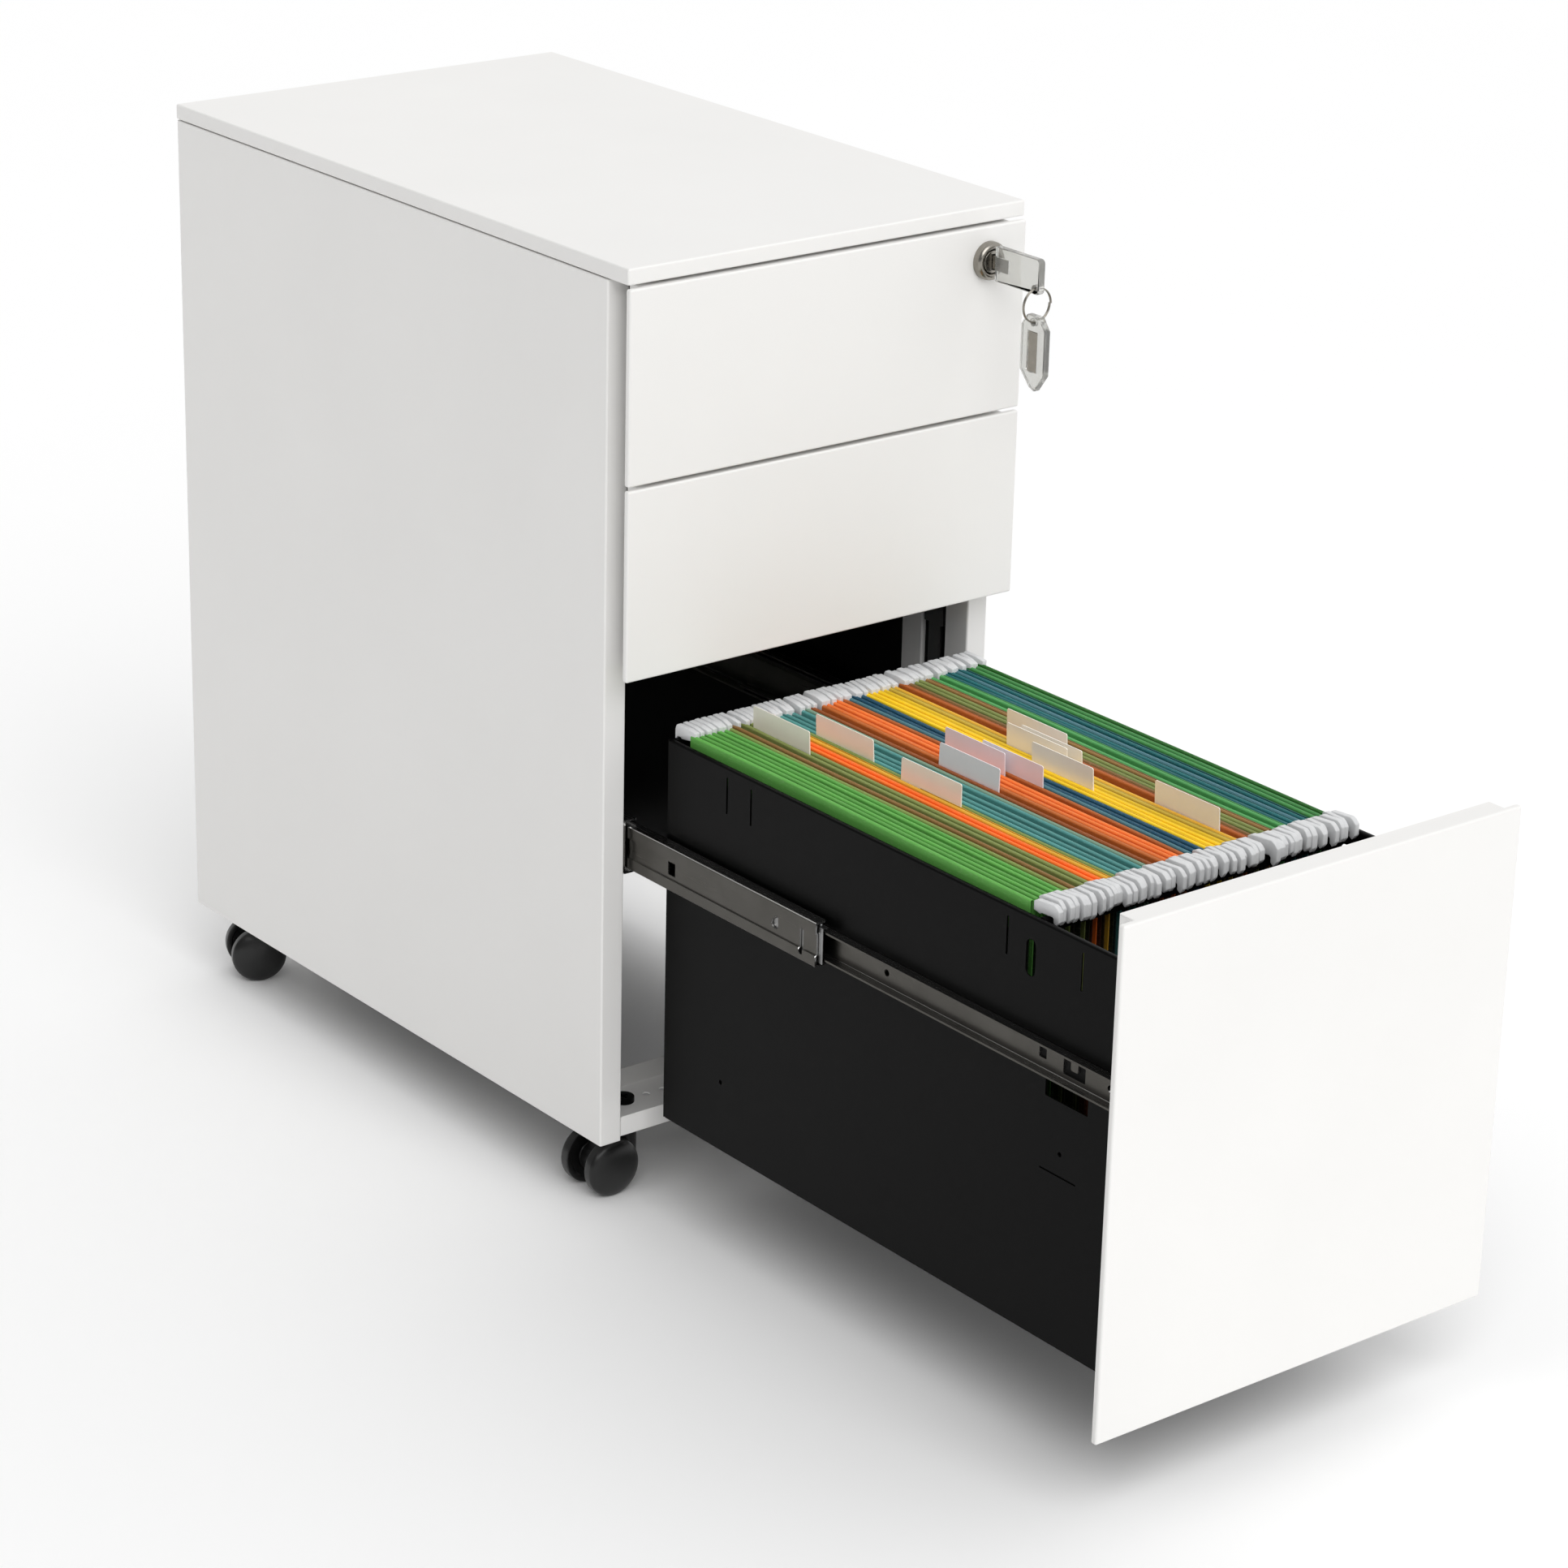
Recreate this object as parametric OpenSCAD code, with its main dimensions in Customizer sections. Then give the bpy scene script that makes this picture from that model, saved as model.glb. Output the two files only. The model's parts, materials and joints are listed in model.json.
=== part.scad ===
// Slim three-drawer metal filing cabinet on casters: two shallow drawers over a
// file drawer that stands open on ball-bearing slides, with hanging folders in it.
// Millimetres, +Z up. The origin is on the floor, under the middle of the cabinet
// and its open drawer taken together.

/* [Cabinet] */
// Overall width
body_w = 300; // [270:5:420]
// Depth from the closed drawer fronts to the back
body_d = 500; // [480:5:620]
// Overall height, standing on its casters
body_h = 615; // [580:5:760]
// Thickness of the folded sheet steel
sheet_t = 0.8; // [0.6:0.1:1.2]
// Height of the side panels' lower edge above the floor
leg_h = 51; // [50:1:70]

/* [Top] */
// Thickness of the top panel's edge
top_t = 10; // [6:1:20]
// Distance from the closed fronts' face back to the top panel's front edge
top_setback = 2; // [0:0.5:6]
// Shadow gap under the top panel
top_gap = 0.8; // [0.4:0.1:0.9]
// Width of the lip folded in under the top panel
top_lip = 12; // [6:1:14]

/* [Side panels] */
// Width of the flange folded in at the front, back, top and bottom
flange_w = 16; // [14:1:20]
// Depth of the return lip behind the front flange
flange_return = 21; // [10:1:22]
// Distance from the side panel's outer face to the inner liner
liner_x = 13; // [10:0.5:13]

/* [Fronts] */
// Distance from the closed fronts' face to the carcass
front_setoff = 22; // [18:1:24]
// Depth of the folded drawer fronts
front_d = 15; // [12:1:16]
// Depth of a front's side edge, in front of the finger groove
front_edge = 4.4; // [3:0.2:6]
// How far the finger groove reaches in behind the side edge
grip_d = 10; // [6:1:12]
// Width of the lip at the back of a front, which the drawer box is fixed to
front_lip = 32; // [28:1:40]
// Height of each of the two upper fronts
small_front_h = 118.5; // [110:0.5:150]
// Gap between one front and the next
front_gap = 2.5; // [2:0.5:4]
// Gap between the fronts' outer edges and the top panel or the carcass edge
end_gap = 2; // [1:0.5:4]

/* [Drawer boxes] */
// Length of the drawer boxes, behind the fronts
box_len = 420; // [400:5:440]
// Height of the upper drawers' trays
tray_h = 75; // [60:1:80]
// Height of a tray's floor above its front's lower edge
tray_lift = 10; // [8:1:14]
// Height of the file drawer's floor above its front's lower edge
file_lift = 21; // [18:1:30]
// Height of the file drawer's box
file_box_h = 249; // [240:1:270]
// Width of the folded rim round the drawer boxes
rim_w = 4; // [3:0.5:6]
// Height of the folded rim
rim_h = 5; // [4:0.5:8]
// How far the file drawer stands open
file_out = 438; // [430:1:440]
// Distance from the fronts' face to the hanger rail's middle
rail_y = 100; // [90:1:110]
// Width of the hanger rail
rail_w = 5; // [4:0.5:8]

/* [Slides] */
// Thickness of a ball-bearing slide, from cabinet to drawer
slide_t = 12.7; // [12.5:0.1:13.2]
// Clearance between the front flange and the slides
slide_clear = 1; // [0.5:0.5:2]
// Height of the cabinet member
cabinet_member_h = 35; // [35:1:37]
// Height of the middle member
middle_member_h = 28; // [28:0.5:28.5]
// Height of the drawer member
drawer_member_h = 18.4; // [18:0.2:18.4]
// Length of the cabinet member
cabinet_member_len = 450; // [440:5:460]
// Length of the middle member
middle_member_len = 400; // [380:5:410]
// Length of the drawer member
drawer_member_len = 440; // [430:5:440]
// Distance from the fronts' face to the cabinet and drawer members' front ends
member_y = 24; // [23:1:26]
// Distance from the fronts' face to the closed middle member's front end
middle_member_y = 59; // [50:1:64]
// Height of the slides' middle line above a tray's floor
tray_slide_z = 28; // [24:1:30]
// Height of the slides' middle line above the file drawer's floor
file_slide_z = 173; // [120:1:176]
// Width of a slide post, front to back
post_w = 20; // [16:1:24]
// Distance from the fronts' face to the front posts
post_front_y = 65; // [64:1:80]
// Distance from the fronts' face to the rear posts
post_rear_y = 400; // [360:5:420]

/* [Bottom rails] */
// Height of the rails' underside above the panels' lower edge
rail_lift = 3; // [2:0.5:4]
// Height of the channel-shaped bottom rails
bottom_rail_h = 13.4; // [10:0.2:15]
// Depth of the bottom rails, front to back
bottom_rail_d = 58; // [50:1:64]

/* [Casters] */
// Diameter of the wheels
wheel_dia = 38; // [34:1:40]
// Width of one wheel
wheel_w = 12; // [10:0.5:13]
// Gap between a caster's two wheels
wheel_gap = 18; // [16:0.5:20]
// Distance from the swivel axis to the axle
trail = 18; // [14:1:20]
// Diameter of the axle
axle_dia = 6; // [5:0.5:7]
// Diameter of the bolt that the caster turns on
stem_dia = 8; // [6:0.5:10]
// Distance from the side to the swivel axes
caster_x = 47; // [45:1:60]
// Distance from the fronts' face to the front swivel axes
caster_front_y = 62; // [56:1:66]
// Distance from the back to the rear swivel axes
caster_rear_inset = 34; // [34:1:40]
// Radial clearance of pins and shafts in their bores
bore_clear = 0.06; // [0.03:0.01:0.09]

/* [Lock and keys] */
// Distance from the cabinet's right side to the lock
lock_inset = 30; // [28:1:32]
// Distance from the top front's upper edge down to the lock
lock_drop = 21; // [18:1:22]
// Diameter of the lock's ring
lock_ring_dia = 24; // [22:1:26]
// How far the lock's ring stands out
lock_ring_t = 6; // [4:0.5:8]
// Diameter of the lock's housing
lock_dia = 18; // [17:0.5:19]
// Diameter of the lock's plug
plug_dia = 14; // [12:0.5:14]
// Length of the housing behind the front's face
lock_len = 43; // [40:1:43]
// Radius that the cam's pin travels on
cam_r = 8; // [7:0.5:9]
// Length of a key's head
key_head_l = 41; // [36:1:46]
// Width of a key's head
key_head_w = 22; // [20:1:26]
// Thickness of a key's head
key_head_t = 5; // [4:0.5:6]
// Radius of the key ring, to the middle of its wire
ring_r = 10.3; // [9:0.1:12]
// Thickness of the key ring's wire
ring_wire = 1.6; // [1.2:0.1:1.8]

/* [Folders] */
// Number of hanging folders
folder_n = 24; // [10:1:26]
// Thickness of a hanging folder's card
folder_t = 0.8; // [0.5:0.1:1.2]
// Height of a hanging folder
folder_h = 229; // [200:1:235]

/* [Hidden] */
$fn = 48;
eps = 0.02;

// Y of the closed fronts' face, which puts the origin under the whole box
face_y = (file_out - body_d) / 2;
// Panels
panel_z1 = body_h - top_t - top_gap;
panel_h = panel_z1 - leg_h;
panel_d = body_d - front_setoff - sheet_t;
// Fronts
file_front_z = leg_h + end_gap;
front_zone = body_h - top_t - end_gap - file_front_z;
file_front_h = front_zone - 2 * small_front_h - 2 * front_gap;
mid_front_z = file_front_z + file_front_h + front_gap;
top_front_z = mid_front_z + small_front_h + front_gap;
// Drawer boxes
slide_x = flange_w + slide_clear;
box_x = slide_x + slide_t;
box_w = body_w - 2 * box_x;
box_y0 = front_d;
box_y1 = box_y0 + box_len;
top_tray_z = top_front_z + tray_lift;
mid_tray_z = mid_front_z + tray_lift;
file_box_z = file_front_z + file_lift;
file_box_z1 = file_box_z + file_box_h;
// Slides
top_slide_z = top_tray_z + tray_slide_z;
mid_slide_z = mid_tray_z + tray_slide_z;
file_slide_mid_z = file_box_z + file_slide_z;
slide_zs = [top_slide_z, mid_slide_z, file_slide_mid_z];
outer_metal = 1.2;
inner_metal = 1.1;
running_gap = 0.3;
cage_metal = 0.4;
middle_x = outer_metal + 2 * running_gap + cage_metal;
track_step = 1;
drawer_flange_x = middle_x + track_step + inner_metal + 2 * running_gap + 2 * cage_metal;
cabinet_flange_w = 10;
middle_flange_w = 8.2;
middle_track_h = 7.5;
// Screws, and the holes they pass through
screw_r = 2;
screw_hole_r = 2.1;
flat_head_r = 3.4;
flat_recess_r = 3.5;
pan_head_r = 3.6;
pan_head_h = 2.5;
post_screw_ys = [post_front_y + post_w / 2, post_rear_y + post_w / 2];
member_screw_ys = [member_y + 10, member_y + 200];
member_end_hole_y = member_y + drawer_member_len - 20;
// Openings in the middle members, each placed from the member's front end
stop_slot_y = 12;
stop_slot_w = 3.5;
keyhole_y = 39;
keyhole_r = 3.2;
keyhole_tail = 3;
latch_hole_y = 136;
latch_hole_w = 7;
// U-shaped opening of the release catch, and the dimple behind it, in the drawer members
catch_y = 30;
catch_arm_w = 6;
catch_gap = 6;
catch_z0 = -5;
catch_z1 = 4;
dimple_y = 62;
dimple_w = 6;
// Holes in the file drawer's sides, with their drops from its rim
slit_ys = [62, 124, 354, 377];
slit_w = 1.6;
slit_drops = [6, 29];
oval_y = 104;
oval_r = 4;
oval_drops = [17, 31];
tool_hole_r = 1.5;
window_y = 52;
window_w = 35;
window_h = 12;
window_drop = 12;
step_y = 59;
step_w = 30;
step_drop = 68;
// Bottom rails
rail_z = leg_h + rail_lift;
rail_z1 = rail_z + bottom_rail_h;
spare_hole_xs = [caster_x + 18, caster_x + 31];
spare_hole_r = 2.6;
// Casters: swivel positions and the way each trails, in degrees from +X
wheel_r = wheel_dia / 2;
axle_r = axle_dia / 2;
stem_r = stem_dia / 2;
caster_rear_y = body_d - caster_rear_inset;
caster_xy = [
    [caster_x, caster_front_y], [body_w - caster_x, caster_front_y],
    [caster_x, caster_rear_y], [body_w - caster_x, caster_rear_y]];
caster_turn = [180, 335, 158, 22];
wheel_side_gap = 0.5;
hub_w = wheel_gap - 2 * wheel_side_gap;
fork_t = 12;
wheel_cap = 2.4;
axle_end = 3;
bolt_head_r = 7;
bolt_head_h = 3.4;
cross_l = 7;
cross_w = 1.6;
cross_d = 1.4;
wheel_dome = 3;
dome_r = wheel_r - 0.5;
dome_sphere_r = (pow(dome_r, 2) + pow(wheel_dome, 2)) / (2 * wheel_dome);
hub_r = 10;
collar_r = 8.5;
stem_z0 = wheel_r + hub_r + 2;
// Lock
lock_x = body_w - lock_inset;
lock_z = top_front_z + small_front_h - lock_drop;
nut_h = 4;
nut_r = 13;
keyway_w = 2.2;
keyway_h = 9.2;
keyway_l = 22;
plug_sink = 1;
cam_t = 2;
cam_w = 8;
cam_hub_r = 6;
cam_gap = 1;
cam_pin_r = 2;
cam_pin_l = 6;
cam_y = lock_len + cam_gap;
cam_pin_x = cam_r * cos(45);
bar_lift = 2 * cam_r * sin(45);
bar_t = 1.5;
bar_w = 12;
bar_y = front_setoff + flange_return + 5;
bar_x = body_w - liner_x - sheet_t - running_gap - bar_t;
bar_z1 = lock_z + 4;
bar_drop = 17;
arm_h = 3;
guide_h = 12;
guide_side = 3;
guide_zs = [file_slide_mid_z + 83, mid_slide_z + 54];
hook_t = 2;
hook_y = bar_y + 8;
hook_clear = 3.7;
hook_h = 10.5;
hook_rise = cabinet_member_h / 2 + 2;
striker_rise = hook_rise + hook_h + 2;
striker_y = bar_y + bar_w + 4;
striker_t = 2;
striker_l = 6;
striker_h = 8;
// Keys
key_gap = 9;
blade_t = 2;
blade_h = 8.4;
blade_in_head = 12;
blade_in_lock = 18;
seat_gap = 0.05;
key_corner_r = 3;
key_hole_r = 2.2;
key_hole_in = 3.8;
key_hole_up = 3.6;
key_hole_y = -(key_gap + key_head_l - key_hole_in);
key_hole_z = lock_z - key_head_w / 2 + key_hole_up;
spare_z = key_hole_z - 2 * ring_r;
spare_l = 47;
spare_blade_w = 8;
spare_blade_drops = [6, 31];
spare_blade_deep = 1.4;
// Folders
folder_edge = 4;
folder_x0 = box_x + sheet_t + rim_w + folder_edge;
folder_pitch = (body_w - 2 * folder_x0) / (folder_n - 1);
folder_y0 = rail_y - rail_w / 2;
folder_y1 = box_y1 + 1.5;
folder_rod_w = 2;
folder_rod_h = 3.5;
hook_len = 8;
hook_w = 5;
folder_hook_h = 7;
hook_z = file_box_z1 + running_gap;
folder_sheet_inset = 14;

// Colours
white = "#F1F0EE";
shade_white = "#E4E3E1";
black = "#1C1C1C";
zinc = "#B9BBBD";
nickel = "#A9A6A0";

// Frames: x runs from the left side, y from a closed front's face, z from the floor
module cabinet() {
    translate([-body_w / 2, face_y, 0]) children();
}
module pulled(out) {
    translate([-body_w / 2, face_y - out, 0]) children();
}
module both_sides() {
    children();
    translate([body_w, 0, 0]) mirror([1, 0, 0]) children();
}
module block(x0, x1, y0, y1, z0, z1) {
    translate([x0, y0, z0]) cube([x1 - x0, y1 - y0, z1 - z0]);
}
module rod_x(x0, x1, y, z, r) {
    translate([x0, y, z]) rotate([0, 90, 0]) cylinder(h = x1 - x0, r = r);
}
module rod_y(x, y0, y1, z, r) {
    translate([x, y0, z]) rotate([-90, 0, 0]) cylinder(h = y1 - y0, r = r);
}

// Carcass
module side_panel() {
    y0 = front_setoff;
    y1 = y0 + panel_d;
    difference() {
        block(0, flange_w, y0, y1, leg_h, panel_z1);
        block(sheet_t, flange_w - sheet_t, y0 + sheet_t, y1 - sheet_t,
            leg_h + sheet_t, panel_z1 - sheet_t);
        block(flange_w - sheet_t - eps, flange_w + eps, y0 + flange_return, y1 - sheet_t,
            leg_h + sheet_t, panel_z1 - sheet_t);
        for (y = post_screw_ys)
            translate([flange_w / 2, y, panel_z1 - 2 * sheet_t]) cylinder(h = 4 * sheet_t, r = screw_hole_r);
    }
}
module side_panel_left() {
    color(white) cabinet() side_panel();
}
module side_panel_right() {
    color(white) cabinet() translate([body_w, 0, 0]) mirror([1, 0, 0]) side_panel();
}
module back_panel() {
    color(white) cabinet() block(1, body_w - 1, body_d - sheet_t, body_d, leg_h, panel_z1);
}
module top_panel() {
    z0 = body_h - top_t;
    color(white) cabinet() difference() {
        block(0, body_w, top_setback, body_d, z0, body_h);
        block(sheet_t, body_w - sheet_t, top_setback + sheet_t, body_d - sheet_t,
            z0 + sheet_t, body_h - sheet_t);
        block(top_lip, body_w - top_lip, top_setback + top_lip, body_d - top_lip,
            z0 - eps, z0 + sheet_t + eps);
        for (x = [flange_w / 2, body_w - flange_w / 2])
            for (y = post_screw_ys)
                translate([x, y, z0 - eps]) cylinder(h = 2 * sheet_t, r = screw_hole_r);
    }
}
module bottom_rail(y0, hole_y) {
    difference() {
        block(flange_w, body_w - flange_w, y0, y0 + bottom_rail_d, rail_z, rail_z1);
        block(flange_w - eps, body_w - flange_w + eps, y0 + sheet_t, y0 + bottom_rail_d - sheet_t,
            rail_z + sheet_t, rail_z1 + eps);
        for (x = [caster_x, body_w - caster_x])
            translate([x, hole_y, rail_z - eps]) cylinder(h = 2 * sheet_t, r = stem_r + 0.3);
        both_sides() for (x = spare_hole_xs)
            translate([x, hole_y, rail_z - eps]) cylinder(h = 2 * sheet_t, r = spare_hole_r);
    }
}
module bottom_rail_front() {
    color(white) cabinet() bottom_rail(front_setoff, caster_front_y);
}
module bottom_rail_rear() {
    color(white) cabinet() bottom_rail(body_d - sheet_t - bottom_rail_d, caster_rear_y);
}
module side_liners() {
    y0 = front_setoff + flange_return + 1;
    color(black) cabinet() both_sides()
        block(liner_x, liner_x + sheet_t, y0, body_d - 2 * sheet_t,
            leg_h + sheet_t, panel_z1 - sheet_t);
}
module slide_post(y) {
    x0 = liner_x + sheet_t;
    difference() {
        block(x0, slide_x, y, y + post_w, rail_z1 + 0.6, panel_z1 - sheet_t);
        block(x0 - eps, slide_x - sheet_t, y + sheet_t, y + post_w - sheet_t,
            rail_z1, panel_z1 + eps);
        for (z = slide_zs)
            rod_x(x0, slide_x + eps, y + post_w / 2, z, screw_hole_r);
    }
}
module slide_posts() {
    color(shade_white) cabinet() both_sides() {
        slide_post(post_front_y);
        slide_post(post_rear_y);
    }
}

// Slides, drawn for the left side of a drawer, with the middle line at z
module cabinet_member(z) {
    h = cabinet_member_h / 2;
    y1 = member_y + cabinet_member_len;
    difference() {
        block(slide_x, slide_x + cabinet_flange_w, member_y, y1, z - h, z + h);
        block(slide_x + outer_metal, slide_x + cabinet_flange_w + eps, member_y - eps, y1 + eps,
            z - h + outer_metal, z + h - outer_metal);
        for (y = post_screw_ys)
            rod_x(slide_x - eps, slide_x + 2 * outer_metal, y, z, flat_recess_r);
    }
}
module middle_member(z) {
    h = middle_member_h / 2;
    track = middle_track_h;
    x0 = slide_x + middle_x;
    x1 = x0 + middle_flange_w;
    y0 = middle_member_y;
    y1 = y0 + middle_member_len;
    difference() {
        block(x0, x1, y0, y1, z - h, z + h);
        block(x0 + inner_metal, x1 + eps, y0 - eps, y1 + eps,
            z + h - track + inner_metal, z + h - inner_metal);
        block(x0 + inner_metal, x1 + eps, y0 - eps, y1 + eps,
            z - h + inner_metal, z - h + track - inner_metal);
        block(x0 + inner_metal + track_step, x1 + eps, y0 - eps, y1 + eps,
            z - h + inner_metal, z + h - inner_metal);
        block(x0 - eps, x0 + track_step, y0 - eps, y1 + eps, z - h + track, z + h - track);
        // Slot, keyhole and square hole, from the front end back
        xa = x0 - 1;
        xb = x0 + 4;
        block(xa, xb, y0 + stop_slot_y, y0 + stop_slot_y + stop_slot_w, z - 10, z + 5.5);
        rod_x(xa, xb, y0 + keyhole_y, z, keyhole_r);
        block(xa, xb, y0 + keyhole_y - keyhole_tail, y0 + keyhole_y, z - keyhole_r / 2, z + 5);
        block(xa, xb, y0 + latch_hole_y, y0 + latch_hole_y + latch_hole_w, z - 4, z + 4.5);
    }
}
module drawer_member(z) {
    h = drawer_member_h / 2;
    x0 = slide_x + drawer_flange_x;
    x1 = slide_x + slide_t;
    y0 = member_y;
    difference() {
        block(x0, x1, y0, y0 + drawer_member_len, z - h, z + h);
        block(x0 - eps, x1 - outer_metal, y0 - eps, y0 + drawer_member_len + eps,
            z - h + outer_metal, z + h - outer_metal);
        // Screw holes, square dimple and the release catch's opening
        xa = x1 - 2 * outer_metal;
        xb = x1 + eps;
        for (y = concat(member_screw_ys, member_end_hole_y))
            rod_x(xa, xb, y, z, screw_hole_r);
        ya = y0 + catch_y;
        yb = ya + catch_arm_w + catch_gap;
        for (y = [ya, yb])
            block(xa, xb, y, y + catch_arm_w, z + catch_z0, z + catch_z1);
        block(xa, xb, ya + catch_arm_w - 0.1, yb + 0.1, z + catch_z0, z - 1);
        block(xa, xb, y0 + dimple_y, y0 + dimple_y + dimple_w, z - 2, z + catch_z1);
    }
}
module ball_cage(x0, x1, ball_x, half_h, ball_r, y0, y1, z) {
    balls = 5;
    pitch = (y1 - y0 - 12) / (balls - 1);
    difference() {
        block(x0, x1, y0, y1, z - half_h - cage_metal / 2, z + half_h + cage_metal / 2);
        block(x0 + cage_metal, x1 + eps, y0 - eps, y1 + eps,
            z - half_h + cage_metal / 2, z + half_h - cage_metal / 2);
    }
    for (side = [-1, 1])
        for (i = [0 : balls - 1])
            translate([ball_x, y0 + 6 + i * pitch, z + side * half_h]) sphere(r = ball_r, $fn = 24);
}
module drawer_cages(z) {
    inner_h = (middle_member_h / 2 - inner_metal + drawer_member_h / 2) / 2;
    outer_h = (cabinet_member_h / 2 - outer_metal + middle_member_h / 2) / 2;
    x_in = slide_x + middle_x + track_step + inner_metal + running_gap;
    x_out = slide_x + outer_metal + running_gap;
    y0 = middle_member_y;
    y1 = y0 + middle_member_len;
    ball_cage(x_in, x_in + 4.2, x_in + 3.2, inner_h, 1.5, y0 - 4, y0 + 116, z);
    ball_cage(x_out, x_out + 6.2, x_out + 4.6, outer_h, 0.85, y1 - 120, y1, z);
}
module slide_members_cabinet() {
    color(zinc) cabinet() both_sides()
        for (z = slide_zs)
            cabinet_member(z);
}
module top_middle_members() {
    color(zinc) pulled(0) both_sides() middle_member(top_slide_z);
}
module mid_middle_members() {
    color(zinc) pulled(0) both_sides() middle_member(mid_slide_z);
}
module file_middle_members() {
    color(zinc) pulled(file_out / 2) both_sides() middle_member(file_slide_mid_z);
}
module top_ball_cages() {
    color("#8E8F91") pulled(0) both_sides() drawer_cages(top_slide_z);
}
module mid_ball_cages() {
    color("#8E8F91") pulled(0) both_sides() drawer_cages(mid_slide_z);
}
module file_ball_cages() {
    color("#8E8F91") pulled(file_out / 2) both_sides() drawer_cages(file_slide_mid_z);
}
module top_slide_members() {
    color(zinc) pulled(0) both_sides() drawer_member(top_slide_z);
}
module mid_slide_members() {
    color(zinc) pulled(0) both_sides() drawer_member(mid_slide_z);
}
module file_slide_members() {
    color(zinc) pulled(file_out) both_sides() drawer_member(file_slide_mid_z);
}

// Fasteners
module carcass_screws() {
    color(zinc) cabinet() both_sides() {
        for (z = slide_zs)
            for (y = post_screw_ys) {
                rod_x(slide_x, slide_x + outer_metal, y, z, flat_head_r);
                rod_x(slide_x - 2, slide_x + eps, y, z, screw_r);
            }
        for (y = post_screw_ys)
            translate([flange_w / 2, y, panel_z1 - sheet_t - pan_head_h]) {
                cylinder(h = pan_head_h, r = pan_head_r);
                cylinder(h = 6, r = screw_r);
            }
    }
}
module caster_bolts() {
    color(black) cabinet() for (p = caster_xy)
        translate([p[0], p[1], 0]) difference() {
            union() {
                translate([0, 0, rail_z + sheet_t]) cylinder(h = bolt_head_h, r = bolt_head_r);
                translate([0, 0, stem_z0 + 1]) cylinder(h = rail_z - stem_z0, r = stem_r);
            }
            for (a = [0, 90])
                rotate([0, 0, a])
                    translate([-cross_l / 2, -cross_w / 2, rail_z + sheet_t + bolt_head_h - cross_d])
                        cube([cross_l, cross_w, 2]);
        }
}

// Drawer fronts
module drawer_front(z0, h) {
    g = grip_d;
    difference() {
        union() {
            block(0, body_w, 0, front_edge, z0, z0 + h);
            block(g, body_w - g, front_edge - eps, front_d, z0, z0 + h);
        }
        block(sheet_t, body_w - sheet_t, sheet_t, front_edge - sheet_t, z0 + sheet_t, z0 + h - sheet_t);
        block(g + sheet_t, body_w - g - sheet_t, sheet_t, front_d - sheet_t,
            z0 + sheet_t, z0 + h - sheet_t);
        block(g + front_lip, body_w - g - front_lip, front_d - sheet_t - eps, front_d + eps,
            z0 + sheet_t, z0 + h - sheet_t);
    }
}
module file_front() {
    color(white) pulled(file_out) difference() {
        drawer_front(file_front_z, file_front_h);
        file_screw_places() rod_y(0, front_d - 2 * sheet_t, front_d + eps, 0, screw_hole_r);
    }
}
module mid_front() {
    color(white) pulled(0) drawer_front(mid_front_z, small_front_h);
}
module top_front() {
    color(white) pulled(0) difference() {
        drawer_front(top_front_z, small_front_h);
        rod_y(lock_x, -eps, front_d + eps, lock_z, lock_dia / 2 + 0.2);
    }
}

// Drawer boxes
module striker(z) {
    x1 = body_w - box_x;
    z0 = z + striker_rise;
    block(x1 - eps, x1 + striker_l, striker_y, striker_y + striker_t, z0, z0 + striker_h);
}
module rim(x0, x1, y0, y1, z1) {
    w = rim_w;
    difference() {
        block(x0, x1, y0, y1, z1 - rim_h, z1);
        block(x0 + w, x1 - w, y0 + w, y1 - w, z1 - rim_h - eps, z1 + eps);
        difference() {
            block(x0 + sheet_t, x1 - sheet_t, y0 + sheet_t, y1 - sheet_t,
                z1 - rim_h - eps, z1 - sheet_t);
            block(x0 + w - sheet_t, x1 - w + sheet_t, y0 + w - sheet_t, y1 - w + sheet_t,
                z1 - rim_h - 1, z1);
        }
    }
}
module tray(z0, slide_z) {
    x1 = body_w - box_x;
    difference() {
        block(box_x, x1, box_y0, box_y1, z0, z0 + tray_h);
        block(box_x + sheet_t, x1 - sheet_t, box_y0 + sheet_t, box_y1 - sheet_t,
            z0 + sheet_t, z0 + tray_h + eps);
        for (x = [box_x + sheet_t / 2, x1 - sheet_t / 2])
            for (y = member_screw_ys)
                rod_x(x - sheet_t, x + sheet_t, y, slide_z, screw_hole_r);
    }
    rim(box_x, x1, box_y0, box_y1, z0 + tray_h);
    striker(slide_z);
}
module top_tray() {
    color(black) pulled(0) tray(top_tray_z, top_slide_z);
}
module mid_tray() {
    color(black) pulled(0) tray(mid_tray_z, mid_slide_z);
}
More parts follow.
